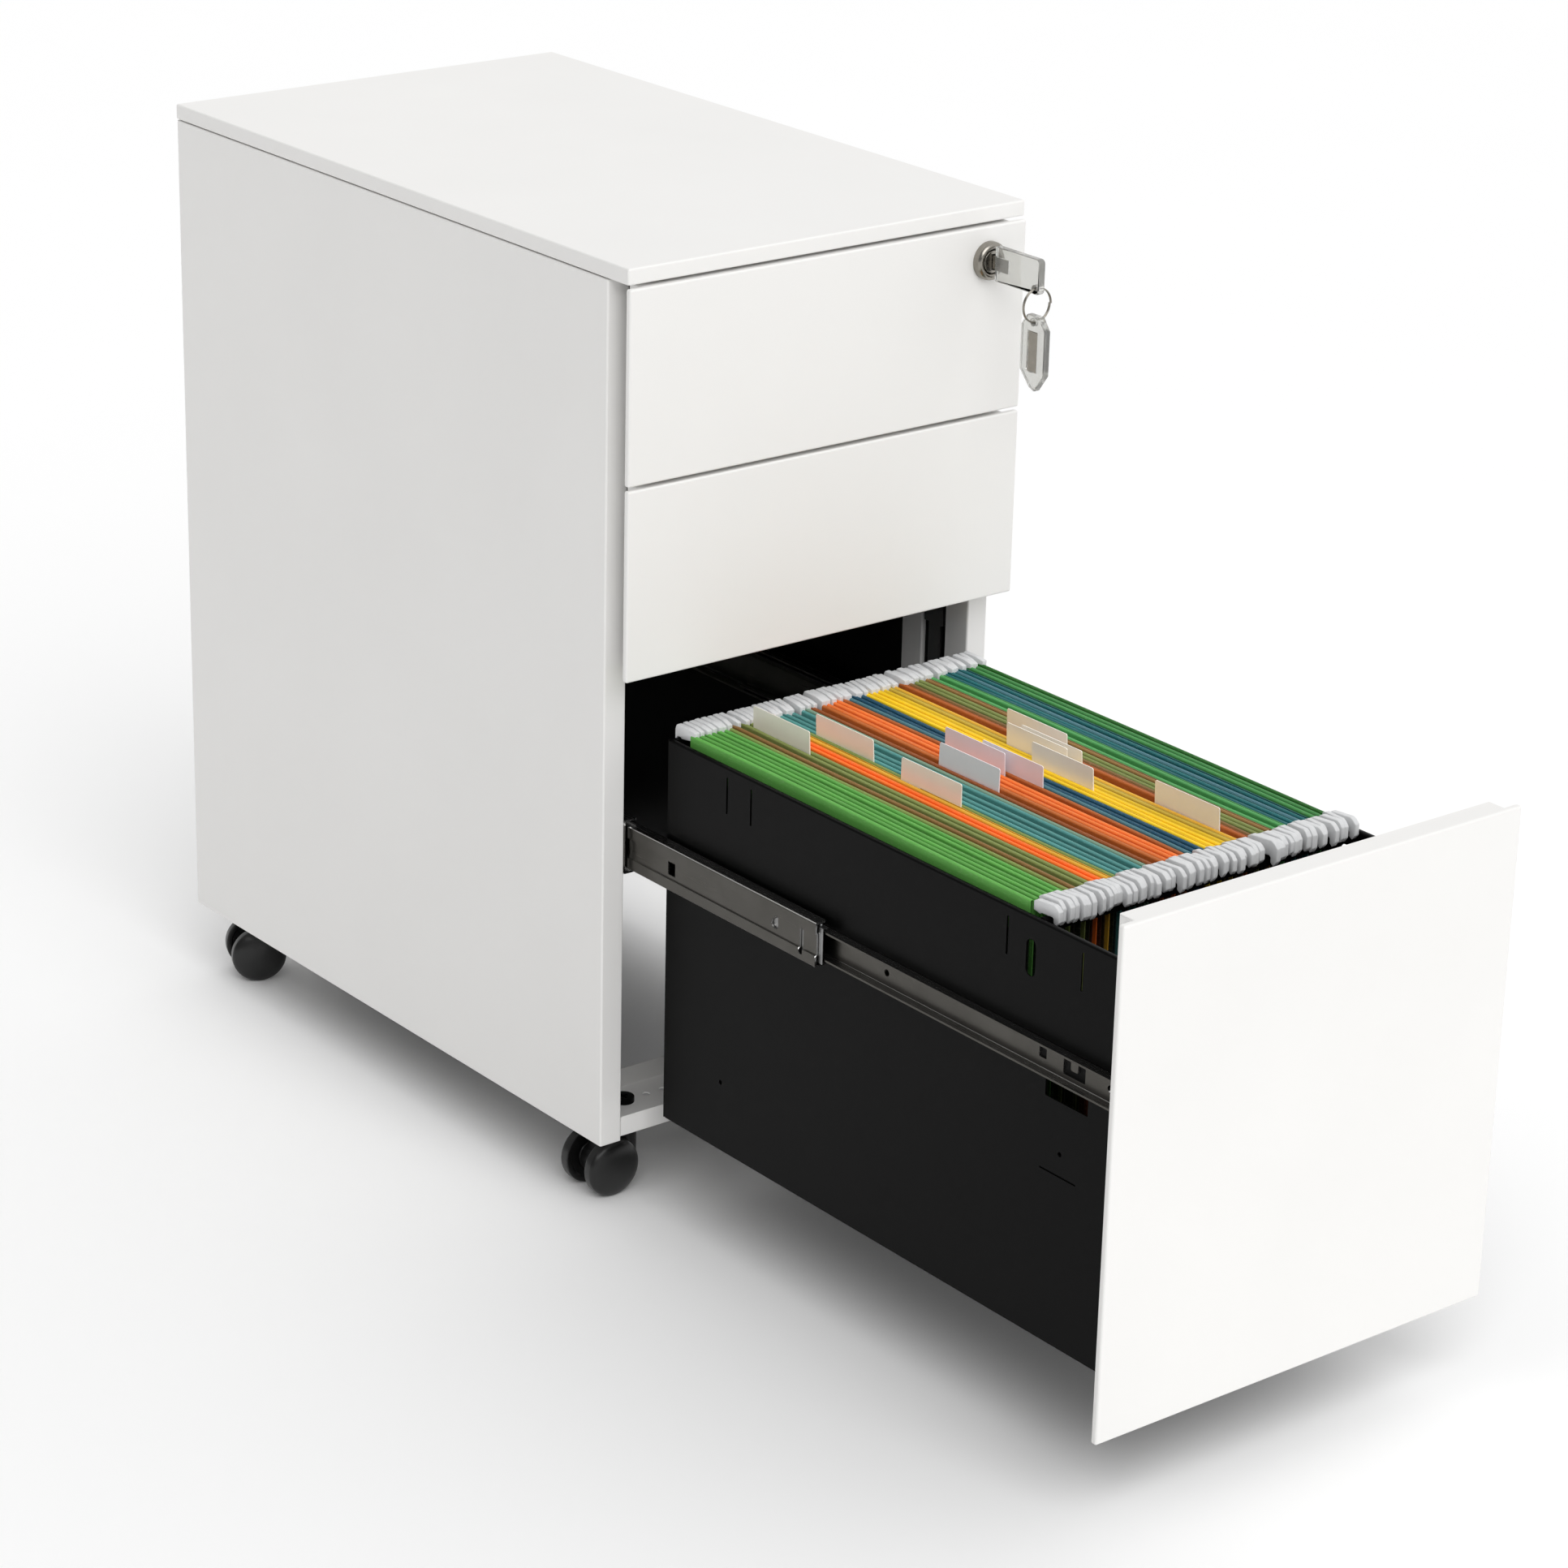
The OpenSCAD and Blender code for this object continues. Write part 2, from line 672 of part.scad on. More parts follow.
module file_side() {
    x0 = box_x;
    xa = x0 - eps;
    xb = x0 + sheet_t + eps;
    top = file_box_z1;
    difference() {
        union() {
            block(x0, x0 + sheet_t, box_y0 + sheet_t, box_y1 - sheet_t, file_box_z, top);
            block(x0, x0 + rim_w, box_y0 + sheet_t, box_y1 - sheet_t, top - sheet_t, top);
            block(x0 + rim_w - sheet_t, x0 + rim_w, box_y0 + sheet_t, box_y1 - sheet_t,
                top - rim_h, top);
        }
        // Upright slits for dividers
        for (y = slit_ys)
            block(xa, xb, y - slit_w / 2, y + slit_w / 2, top - slit_drops[1], top - slit_drops[0]);
        // Oval slot, tooling holes, the square window under the slide and the slot below it
        block(xa, xb, oval_y - oval_r, oval_y + oval_r, top - oval_drops[1], top - oval_drops[0]);
        for (drop = oval_drops)
            rod_x(xa, xb, oval_y, top - drop, oval_r);
        rod_x(xa, xb, 378, file_box_z + 45, tool_hole_r);
        rod_x(xa, xb, 73, file_slide_mid_z - 55, tool_hole_r);
        window_z1 = file_slide_mid_z - window_drop;
        block(xa, xb, window_y, window_y + window_w, window_z1 - window_h, window_z1);
        step_z = file_slide_mid_z - step_drop;
        block(xa, xb, step_y, step_y + step_w, step_z - 1, step_z);
        for (y = member_screw_ys)
            rod_x(xa, xb, y, file_slide_mid_z, screw_hole_r);
    }
}
module file_side_left() {
    color(black) pulled(file_out) file_side();
}
module file_side_right() {
    color(black) pulled(file_out) {
        translate([body_w, 0, 0]) mirror([1, 0, 0]) file_side();
        striker(file_slide_mid_z);
    }
}
module file_back() {
    x1 = body_w - box_x;
    top = file_box_z1;
    color(black) pulled(file_out) {
        block(box_x, x1, box_y1 - sheet_t, box_y1, file_box_z, top);
        block(box_x + rim_w, x1 - rim_w, box_y1 - rim_w, box_y1 - eps, top - sheet_t, top);
        block(box_x + rim_w, x1 - rim_w, box_y1 - rim_w, box_y1 - rim_w + sheet_t, top - rim_h, top);
    }
}
module file_inner_front() {
    x1 = body_w - box_x;
    color(black) pulled(file_out) difference() {
        block(box_x, x1, box_y0, box_y0 + sheet_t, file_box_z, file_box_z1);
        file_screw_places() rod_y(0, box_y0 - eps, box_y0 + sheet_t + eps, 0, screw_hole_r);
    }
}
module file_bottom() {
    x0 = box_x + sheet_t;
    color(black) pulled(file_out)
        block(x0, body_w - x0, box_y0 + sheet_t, box_y1 - sheet_t, file_box_z, file_box_z + sheet_t);
}
module hanger_rail() {
    x0 = box_x + rim_w;
    y0 = rail_y - rail_w / 2;
    z0 = file_box_z1 - 8;
    color(black) pulled(file_out) difference() {
        block(x0, body_w - x0, y0, y0 + rail_w, z0, file_box_z1);
        block(x0 - eps, body_w - x0 + eps, y0 + sheet_t, y0 + rail_w - sheet_t,
            z0 - eps, file_box_z1 - sheet_t);
    }
}
module file_screw_places() {
    for (x = [box_x + 6, body_w - box_x - 6])
        for (z = [file_box_z + 30, file_box_z1 - 30])
            translate([x, 0, z]) children();
}
module file_screws() {
    y0 = box_y0 + sheet_t;
    color(zinc) pulled(file_out) {
        file_screw_places() rod_y(0, y0, y0 + 2, 0, pan_head_r);
        file_screw_places() rod_y(0, front_d - 4, y0 + eps, 0, screw_r);
    }
}

// Hanging folders: card with a rod along its top, hooked over rail and back rim
module hanging_folder(x) {
    z1 = hook_z + 5;
    y0 = folder_y0 + folder_sheet_inset;
    y1 = folder_y1 - folder_sheet_inset;
    rod_z1 = z1 + 0.5;
    block(x - folder_t / 2, x + folder_t / 2, y0, y1, z1 - folder_h, z1);
    block(x - folder_rod_w / 2, x + folder_rod_w / 2, folder_y0, folder_y1, rod_z1 - folder_rod_h, rod_z1);
    for (y = [folder_y0, folder_y1 - hook_len])
        block(x - hook_w / 2, x + hook_w / 2, y, y + hook_len, hook_z, hook_z + folder_hook_h);
}
module hanging_folders() {
    color("#4F9A45") pulled(file_out)
        for (i = [0 : folder_n - 1])
            hanging_folder(folder_x0 + i * folder_pitch);
}

// Lock
module lock_housing() {
    color(nickel) pulled(0) difference() {
        union() {
            rod_y(lock_x, -lock_ring_t, 0, lock_z, lock_ring_dia / 2);
            rod_y(lock_x, -eps, lock_len, lock_z, lock_dia / 2);
        }
        rod_y(lock_x, -lock_ring_t - eps, lock_len + eps, lock_z, plug_dia / 2 + bore_clear);
    }
}
module lock_nut() {
    color(nickel) pulled(0) difference() {
        translate([lock_x, sheet_t, lock_z]) rotate([-90, 0, 0]) cylinder(h = nut_h, r = nut_r, $fn = 6);
        rod_y(lock_x, 0, sheet_t + nut_h + 1, lock_z, lock_dia / 2 + 0.1);
    }
}
module lock_plug() {
    color(nickel) pulled(0) difference() {
        rod_y(lock_x, plug_sink - lock_ring_t, cam_y, lock_z, plug_dia / 2);
        block(lock_x - keyway_w / 2, lock_x + keyway_w / 2, -lock_ring_t, keyway_l,
            lock_z - keyway_h / 2, lock_z + keyway_h / 2);
    }
}
module lock_cam() {
    color(zinc) pulled(0) {
        y1 = cam_y + cam_t;
        rod_y(lock_x, cam_y, y1, lock_z, cam_hub_r);
        translate([lock_x, cam_y, lock_z]) rotate([0, 45, 0]) translate([0, 0, -cam_w / 2])
            cube([cam_r + cam_pin_r, cam_t, cam_w]);
        rod_y(lock_x + cam_pin_x, y1 - eps, y1 + cam_pin_l, lock_z - cam_pin_x, cam_pin_r);
    }
}
module hook(z) {
    z0 = z + hook_rise;
    block(body_w - box_x + hook_clear, bar_x + eps, hook_y, hook_y + hook_t, z0, z0 + hook_h);
}
module lock_bar() {
    arm_z = lock_z - cam_pin_x + cam_pin_r + 0.5;
    color(zinc) cabinet() {
        y0 = cam_y + cam_t;
        block(bar_x, bar_x + bar_t, bar_y, bar_y + bar_w, file_slide_mid_z - bar_drop, bar_z1);
        block(lock_x, bar_x + eps, y0 + cam_gap, y0 + cam_pin_l, arm_z, arm_z + arm_h);
        for (z = slide_zs)
            hook(z);
    }
}
module lock_bar_guides() {
    x0 = bar_x - running_gap - sheet_t;
    x1 = body_w - liner_x - sheet_t;
    g = running_gap;
    color(zinc) cabinet() for (z = guide_zs)
        difference() {
            block(x0, x1, bar_y - guide_side, bar_y + bar_w + guide_side, z, z + guide_h);
            block(x0 + sheet_t, x1 + eps, bar_y - g, bar_y + bar_w + g, z - eps, z + guide_h + eps);
        }
}

// Keys: flat clear heads in an upright plane, a split ring and the spare key below
module key_blade() {
    color(zinc) pulled(0)
        block(lock_x - blade_t / 2, lock_x + blade_t / 2, -key_gap - blade_in_head, blade_in_lock,
            lock_z - blade_h / 2, lock_z + blade_h / 2);
}
module key_head() {
    r = key_corner_r;
    x0 = lock_x - key_head_t / 2;
    x1 = lock_x + key_head_t / 2;
    y0 = -key_gap - key_head_l;
    h = key_head_w / 2;
    slot_w = blade_t / 2 + seat_gap;
    slot_h = blade_h / 2 + seat_gap;
    color("#D8D8D4", 0.6) pulled(0) difference() {
        union() {
            block(x0, x1, y0 + r, -key_gap, lock_z - h, lock_z + h);
            block(x0, x1, y0, y0 + 2 * r, lock_z - h + r, lock_z + h - r);
            for (z = [lock_z - h + r, lock_z + h - r])
                rod_x(x0, x1, y0 + r, z, r);
        }
        rod_x(lock_x - key_head_t, lock_x + key_head_t, key_hole_y, key_hole_z, key_hole_r);
        block(lock_x - slot_w, lock_x + slot_w, -key_gap - blade_in_head - seat_gap, -key_gap + eps,
            lock_z - slot_h, lock_z + slot_h);
    }
}
module key_ring() {
    color(nickel) pulled(0) translate([lock_x, key_hole_y, key_hole_z - ring_r]) rotate([90, 0, 0])
        rotate_extrude() translate([ring_r, 0]) circle(r = ring_wire / 2, $fn = 24);
}
module spare_outline() {
    w = key_head_w / 2;
    polygon([[-w + 6, 4], [w - 5, 4], [w, -3], [w, -spare_l + 16], [w - 9, -spare_l + 6],
        [w - 14, -spare_l + 4], [-w, -spare_l + 15], [-w, -4]]);
}
module spare_key_head() {
    t = key_head_t;
    color("#D8D8D4", 0.6) pulled(0) difference() {
        translate([lock_x - t / 2, key_hole_y, spare_z]) rotate([90, 0, 90])
            linear_extrude(height = t) spare_outline();
        rod_x(lock_x - t, lock_x + t, key_hole_y, spare_z, key_hole_r);
        w = spare_blade_w / 2 + 2 * seat_gap;
        block(lock_x - t / 2 - eps, lock_x - t / 2 + spare_blade_deep, key_hole_y - w, key_hole_y + w,
            spare_z - spare_blade_drops[1] - 2 * seat_gap, spare_z - spare_blade_drops[0]);
    }
}
module spare_key_blade() {
    t = key_head_t;
    w = spare_blade_w / 2;
    color(zinc) pulled(0)
        block(lock_x - t / 2 + 0.3, lock_x - t / 2 + spare_blade_deep, key_hole_y - w, key_hole_y + w,
            spare_z - spare_blade_drops[1], spare_z - spare_blade_drops[0] - 2 * seat_gap);
}

// Casters. The frame has its origin on the floor under the swivel axis, +X trailing
module caster(i) {
    cabinet() translate([caster_xy[i][0], caster_xy[i][1], 0]) rotate([0, 0, caster_turn[i]]) children();
}
module caster_fork() {
    top = rail_z - running_gap;
    color(black) difference() {
        union() {
            rod_y(trail, -hub_w / 2, hub_w / 2, wheel_r, hub_r);
            translate([0, 0, wheel_r]) cylinder(h = top - wheel_r, r = collar_r);
            translate([0, fork_t / 2, 0]) rotate([90, 0, 0]) linear_extrude(height = fork_t)
                polygon([[0, wheel_r], [trail, wheel_r - 4], [trail + 8, wheel_r + 4],
                    [trail + 4, wheel_r + 14], [6, top - 4], [0, top - 4]]);
        }
        translate([0, 0, stem_z0]) cylinder(h = top, r = stem_r + bore_clear);
        rod_y(trail, -hub_w, hub_w, wheel_r, axle_r);
    }
}
module caster_axle() {
    l = hub_w / 2 + wheel_side_gap + wheel_w - axle_end;
    color(zinc) rod_y(trail, -l, l, wheel_r, axle_r);
}
module wheel(side) {
    y0 = wheel_gap / 2;
    dome = wheel_dome;
    color(black) translate([trail, 0, wheel_r]) rotate([side > 0 ? -90 : 90, 0, 0]) difference() {
        union() {
            translate([0, 0, y0]) cylinder(h = wheel_w - dome, r = wheel_r);
            intersection() {
                translate([0, 0, y0 + wheel_w - dome - eps]) cylinder(h = dome + eps, r = dome_r);
                translate([0, 0, y0 + wheel_w - dome_sphere_r]) sphere(r = dome_sphere_r);
            }
        }
        translate([0, 0, y0 - eps]) cylinder(h = wheel_w - wheel_cap, r = axle_r + bore_clear);
    }
}
module caster_fork_fl() { caster(0) caster_fork(); }
module caster_axle_fl() { caster(0) caster_axle(); }
module wheel_fl_a() { caster(0) wheel(1); }
module wheel_fl_b() { caster(0) wheel(-1); }
module caster_fork_fr() { caster(1) caster_fork(); }
module caster_axle_fr() { caster(1) caster_axle(); }
module wheel_fr_a() { caster(1) wheel(1); }
module wheel_fr_b() { caster(1) wheel(-1); }
module caster_fork_bl() { caster(2) caster_fork(); }
module caster_axle_bl() { caster(2) caster_axle(); }
module wheel_bl_a() { caster(2) wheel(1); }
module wheel_bl_b() { caster(2) wheel(-1); }
module caster_fork_br() { caster(3) caster_fork(); }
module caster_axle_br() { caster(3) caster_axle(); }
module wheel_br_a() { caster(3) wheel(1); }
module wheel_br_b() { caster(3) wheel(-1); }

side_panel_left();
side_panel_right();
back_panel();
top_panel();
bottom_rail_front();
bottom_rail_rear();
side_liners();
slide_posts();
slide_members_cabinet();
carcass_screws();
caster_bolts();
lock_bar_guides();
file_front();
file_side_left();
file_side_right();
file_back();
file_inner_front();
file_bottom();
hanger_rail();
file_slide_members();
file_screws();
hanging_folders();
top_middle_members();
mid_middle_members();
file_middle_members();
top_ball_cages();
mid_ball_cages();
file_ball_cages();
top_front();
top_tray();
top_slide_members();
lock_housing();
lock_nut();
mid_front();
mid_tray();
mid_slide_members();
lock_plug();
lock_cam();
key_blade();
key_head();
key_ring();
spare_key_head();
spare_key_blade();
lock_bar();
caster_fork_fl();
caster_axle_fl();
wheel_fl_a();
wheel_fl_b();
caster_fork_fr();
caster_axle_fr();
wheel_fr_a();
wheel_fr_b();
caster_fork_bl();
caster_axle_bl();
wheel_bl_a();
wheel_bl_b();
caster_fork_br();
caster_axle_br();
wheel_br_a();
wheel_br_b();
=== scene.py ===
import json
import math
import random

import bmesh
import bpy
from mathutils import Matrix, Vector

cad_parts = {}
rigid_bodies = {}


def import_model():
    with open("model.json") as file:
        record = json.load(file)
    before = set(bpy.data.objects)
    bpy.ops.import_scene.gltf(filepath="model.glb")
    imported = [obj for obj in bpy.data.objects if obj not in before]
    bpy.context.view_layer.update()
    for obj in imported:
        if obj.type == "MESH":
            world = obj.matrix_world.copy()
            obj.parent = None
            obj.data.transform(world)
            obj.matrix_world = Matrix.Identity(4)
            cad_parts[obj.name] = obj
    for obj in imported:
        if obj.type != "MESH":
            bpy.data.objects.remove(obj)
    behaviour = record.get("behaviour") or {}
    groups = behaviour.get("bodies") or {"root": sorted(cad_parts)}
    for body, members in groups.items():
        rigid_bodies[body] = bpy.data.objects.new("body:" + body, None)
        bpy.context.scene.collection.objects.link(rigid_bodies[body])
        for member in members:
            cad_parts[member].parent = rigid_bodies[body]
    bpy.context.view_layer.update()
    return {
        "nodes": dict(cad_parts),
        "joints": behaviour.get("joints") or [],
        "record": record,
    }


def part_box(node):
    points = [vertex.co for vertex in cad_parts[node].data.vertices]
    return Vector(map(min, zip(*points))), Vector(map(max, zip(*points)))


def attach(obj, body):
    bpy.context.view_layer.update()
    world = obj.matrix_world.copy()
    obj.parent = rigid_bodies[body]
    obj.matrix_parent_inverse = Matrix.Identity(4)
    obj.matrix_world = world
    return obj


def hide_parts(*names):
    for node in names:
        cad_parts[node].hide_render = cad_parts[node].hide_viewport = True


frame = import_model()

# A new Blender file may open with these in it
for extra in [o for o in bpy.data.objects if o.name in ("Cube", "Light", "Camera")]:
    bpy.data.objects.remove(extra)

# ----------------------------------------------------------------- Side panels, back and top
# Cold-rolled sheet steel, 0.8 mm thick, punched flat and folded on a press brake, then
# powder coated white. Every fold keeps the small radius that the press brake leaves.

body_of = {n: b for b, ns in frame["record"]["behaviour"]["bodies"].items() for n in ns}


def linear(hex_colour):
    """The linear values that shaders take, from an sRGB hex colour."""
    channels = [int(hex_colour[i : i + 2], 16) / 255 for i in (1, 3, 5)]
    return [c / 12.92 if c <= 0.04045 else ((c + 0.055) / 1.055) ** 2.4 for c in channels] + [1]


def add(tree, kind, settings=None, inputs=None):
    """Adds a node, sets its own settings, and fills its inputs with values or with other sockets."""
    node = tree.nodes.new(kind)
    for name, value in (settings or {}).items():
        setattr(node, name, value)
    for key, value in (inputs or {}).items():
        if isinstance(value, bpy.types.NodeSocket):
            tree.links.new(value, node.inputs[key])
        else:
            node.inputs[key].default_value = value
    return node


def blank_finish(name):
    """A new material with no nodes but its Object coordinates: the material, its tree, and them."""
    material = bpy.data.materials.new(name)
    material.use_nodes = True
    material.node_tree.nodes.clear()
    place = add(material.node_tree, "ShaderNodeTexCoord").outputs["Object"]
    return material, material.node_tree, place


def powder_coat(name, dark, light, shine, gloss, peel):
    """Polyester powder, sprayed on dry and baked: an even satin skin with a faint orange peel.
    shine is the middle of its roughness, gloss how strongly it mirrors, and peel the size of
    its ripples in metres."""
    material, tree, place = blank_finish(name)
    # Film thickness drifts over a hand's width, and the gun leaves a finer cloud in it
    drift = add(tree, "ShaderNodeTexNoise", {}, {"Vector": place, "Scale": 1 / 0.11, "Detail": 3.0})
    tone = add(tree, "ShaderNodeMix", {"data_type": "RGBA"},
        {0: drift.outputs["Fac"], 6: linear(dark), 7: linear(light)})
    ripple = add(tree, "ShaderNodeTexNoise", {}, {"Vector": place, "Scale": 1 / peel, "Detail": 2.0})
    grit = add(tree, "ShaderNodeTexNoise", {}, {"Vector": place, "Scale": 6 / peel, "Detail": 1.0})
    satin = add(tree, "ShaderNodeMapRange", {},
        {"Value": grit.outputs["Fac"], "To Min": shine - 0.06, "To Max": shine + 0.06})
    height = add(tree, "ShaderNodeMath", {"operation": "MULTIPLY_ADD"},
        {0: grit.outputs["Fac"], 1: 0.15, 2: ripple.outputs["Fac"]})
    skin = add(tree, "ShaderNodeBump", {},
        {"Strength": 0.12, "Distance": 0.00015, "Height": height.outputs[0]})
    shader = add(tree, "ShaderNodeBsdfPrincipled", {},
        {"Base Color": tone.outputs[2], "Roughness": satin.outputs[0], "Normal": skin.outputs[0],
         "Specular IOR Level": gloss})
    add(tree, "ShaderNodeOutputMaterial", {}, {"Surface": shader.outputs[0]})
    return material


# Corners this near are one point. Faces that meet flatter than FLAT_ANGLE are one face, an edge
# sharper than FOLD_ANGLE is a fold, and one sharper than SMOOTH_ANGLE is shaded as an edge
SAME_POINT = 2e-6
FLAT_ANGLE = math.radians(0.6)
FOLD_ANGLE = math.radians(40)
SMOOTH_ANGLE = math.radians(36)
TIGHTEST_FOLD = 0.0003


def depth_behind(face, edge):
    """How far a face runs from the middle of one of its edges, straight away from that edge."""
    loop = next(l for l in edge.link_loops if l.face == face)
    along = (loop.link_loop_next.vert.co - loop.vert.co).normalized()
    inward = face.normal.cross(along)
    middle = (edge.verts[0].co + edge.verts[1].co) / 2
    nearest = 1.0
    for other in face.edges:
        if other == edge:
            continue
        p, q = (v.co - middle for v in other.verts)
        pu, qu = p.dot(along), q.dot(along)
        if (pu <= 0) == (qu <= 0):
            continue
        pv, qv = p.dot(inward), q.dot(inward)
        depth = pv - pu * (qv - pv) / (qu - pu)
        if depth > SAME_POINT / 2:
            nearest = min(nearest, depth)
    return nearest


def joined_copy(node):
    """A copy of a CAD node's mesh with its loose triangles joined into flat faces."""
    bm = bmesh.new()
    bm.from_mesh(frame["nodes"][node].data)
    bmesh.ops.remove_doubles(bm, verts=bm.verts, dist=SAME_POINT)
    bmesh.ops.dissolve_limit(bm, angle_limit=FLAT_ANGLE, verts=bm.verts, edges=bm.edges)
    return bm


def round_edges(bm, radius, sheet=0.0, thinnest=0.0015):
    """Rounds the folds of a sheet: edges between two faces that both run further back than the
    sheet is thick. The inside of a fold gets the outer radius less the sheet."""
    folds = [e for e in bm.edges if e.is_manifold and e.calc_face_angle() > FOLD_ANGLE]
    folds = [e for e in folds if min(depth_behind(f, e) for f in e.link_faces) > thinnest]
    outer = [e for e in folds if e.calc_face_angle_signed() > 0]
    inner = [e for e in folds if e.calc_face_angle_signed() < 0] if sheet else []
    for edges, size in ((outer, radius), (inner, max(radius - sheet, TIGHTEST_FOLD))):
        edges = [e for e in edges if e.is_valid]
        if edges:
            bmesh.ops.bevel(bm, geom=edges, offset=size, offset_type="OFFSET", segments=3,
                profile=0.5, affect="EDGES", clamp_overlap=False)
    return bm


def piece(name, bm, material, node, replaces=True):
    """Makes a finished shape a piece that rides with a CAD node's body and stands for that node."""
    for edge in bm.edges:
        edge.smooth = edge.is_manifold and edge.calc_face_angle() < SMOOTH_ANGLE
    for face in bm.faces:
        face.smooth = True
    mesh = bpy.data.meshes.new(name)
    bm.to_mesh(mesh)
    bm.free()
    mesh.materials.append(material)
    obj = bpy.data.objects.new(name, mesh)
    bpy.context.scene.collection.objects.link(obj)
    even = obj.modifiers.new("even_normals", "WEIGHTED_NORMAL")
    even.keep_sharp = True
    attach(obj, body_of[node])
    if replaces:
        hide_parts(node)
    return obj


def finish_node(node, material):
    """Gives a CAD node that is shown as it is its finish."""
    for place in frame["nodes"][node].material_slots:
        place.material = material


SHEET = 0.0008
PANEL_FOLD = 0.0013
white_coat = powder_coat("white_polyester_powder_coat", "#EBEAE8", "#F0EFED", 0.42, 0.4, 0.003)
for node in ("side_panel_left", "side_panel_right", "top_panel"):
    piece(node + "_folded", round_edges(joined_copy(node), PANEL_FOLD, SHEET), white_coat, node)
finish_node("back_panel", white_coat)

# ----------------------------------------------------------------- Rails, posts and liners
# The bottom rails and the slide posts are the same white sheet, folded to channels. The
# liners are plain sheets coated black, so that the inside looks deep.
black_coat = powder_coat("black_polyester_powder_coat", "#060606", "#090909", 0.34, 0.06, 0.003)
CHANNEL_FOLD = 0.0012
for node in ("bottom_rail_front", "bottom_rail_rear", "slide_posts"):
    piece(node + "_folded", round_edges(joined_copy(node), CHANNEL_FOLD, SHEET), white_coat, node)
finish_node("side_liners", black_coat)

# ----------------------------------------------------------------- Drawer fronts
# Each front is one white sheet folded back on all four sides. Its side edges step in
# behind a narrow return, which leaves a groove for the fingers instead of a handle.
for node in ("top_front", "mid_front", "file_front"):
    piece(node + "_folded", round_edges(joined_copy(node), PANEL_FOLD, SHEET), white_coat, node)

# ----------------------------------------------------------------- Drawer boxes
# The boxes are black coated sheet. Their top edges are folded over to a hollow rim, so
# that no raw edge is left where a hand reaches in.
BOX_FOLD = 0.0014
for node in ("top_tray", "mid_tray", "file_side_left", "file_side_right", "hanger_rail"):
    piece(node + "_folded", round_edges(joined_copy(node), BOX_FOLD, SHEET), black_coat, node)
for node in ("file_back", "file_inner_front", "file_bottom"):
    finish_node(node, black_coat)

# ----------------------------------------------------------------- Ball-bearing slides
# Roll-formed steel strip, zinc plated bright. Rolling leaves fine lines along the length,
# and the chromate rinse a faint cool and warm bloom.


def zinc_plate(name, dark, light, rough):
    """Bright zinc on rolled strip: a clear metal shine drawn out along the slide."""
    material, tree, place = blank_finish(name)
    # Rolling lines are 0.4 mm apart and run 60 mm before they fade
    stretched = add(tree, "ShaderNodeMapping", {},
        {"Vector": place, "Scale": (1 / 0.0004, 1 / 0.06, 1 / 0.0004)})
    lines = add(tree, "ShaderNodeTexNoise", {},
        {"Vector": stretched.outputs[0], "Scale": 1.0, "Detail": 3.0})
    bloom = add(tree, "ShaderNodeTexNoise", {}, {"Vector": place, "Scale": 1 / 0.03, "Detail": 4.0})
    tone = add(tree, "ShaderNodeMix", {"data_type": "RGBA"},
        {0: bloom.outputs["Fac"], 6: linear(dark), 7: linear(light)})
    shine = add(tree, "ShaderNodeMapRange", {},
        {"Value": lines.outputs["Fac"], "To Min": rough - 0.08, "To Max": rough + 0.1})
    drawn = add(tree, "ShaderNodeBump", {},
        {"Strength": 0.2, "Distance": 0.00005, "Height": lines.outputs["Fac"]})
    shader = add(tree, "ShaderNodeBsdfPrincipled", {},
        {"Base Color": tone.outputs[2], "Metallic": 1.0, "Roughness": shine.outputs[0],
         "Normal": drawn.outputs[0]})
    add(tree, "ShaderNodeOutputMaterial", {}, {"Surface": shader.outputs[0]})
    return material


# The lips and bends of the slides get a painted highlight, a brighter zinc, and the flat webs a painted
# shade, a darker zinc
zinc_painted_highlight = zinc_plate("zinc_plated_steel_painted_highlight", "#B9B7B3", "#D2D2D2", 0.24)
zinc_painted_shade = zinc_plate("zinc_plated_steel_painted_shade", "#45433F", "#5C5A56", 0.3)
dull_zinc = zinc_plate("dull_zinc_plated_steel", "#7E7D7A", "#939496", 0.34)
STRIP = 0.0011
STRIP_FOLD = 0.0012
for node in ("slide_members_cabinet", "top_middle_members", "mid_middle_members",
             "file_middle_members", "top_slide_members", "mid_slide_members",
             "file_slide_members"):
    bm = round_edges(joined_copy(node), STRIP_FOLD, STRIP)
    rolled = piece(node + "_rolled", bm, zinc_painted_highlight, node)
    rolled.data.materials.append(zinc_painted_shade)
    # The webs stand upright and face sideways, and take the painted shade; every other face takes the
    # painted highlight
    for face in rolled.data.polygons:
        face.material_index = int(abs(face.normal.x) > 0.95)
for node in ("top_ball_cages", "mid_ball_cages", "file_ball_cages"):
    finish_node(node, dull_zinc)

# ----------------------------------------------------------------- Screws, bolts and lock bar
# Cold-headed screws and the pressed lock bar, cam and guides, all zinc plated and left dull. The
# bolts that the casters turn on are coated black.
for node in ("carcass_screws", "file_screws", "lock_bar_guides", "lock_bar", "lock_cam"):
    finish_node(node, dull_zinc)
finish_node("caster_bolts", black_coat)

# ----------------------------------------------------------------- Casters
# Moulded in black nylon: a hub with a collar, two domed wheels on a steel axle. The
# moulds are polished, so the domes carry a soft, wide highlight.


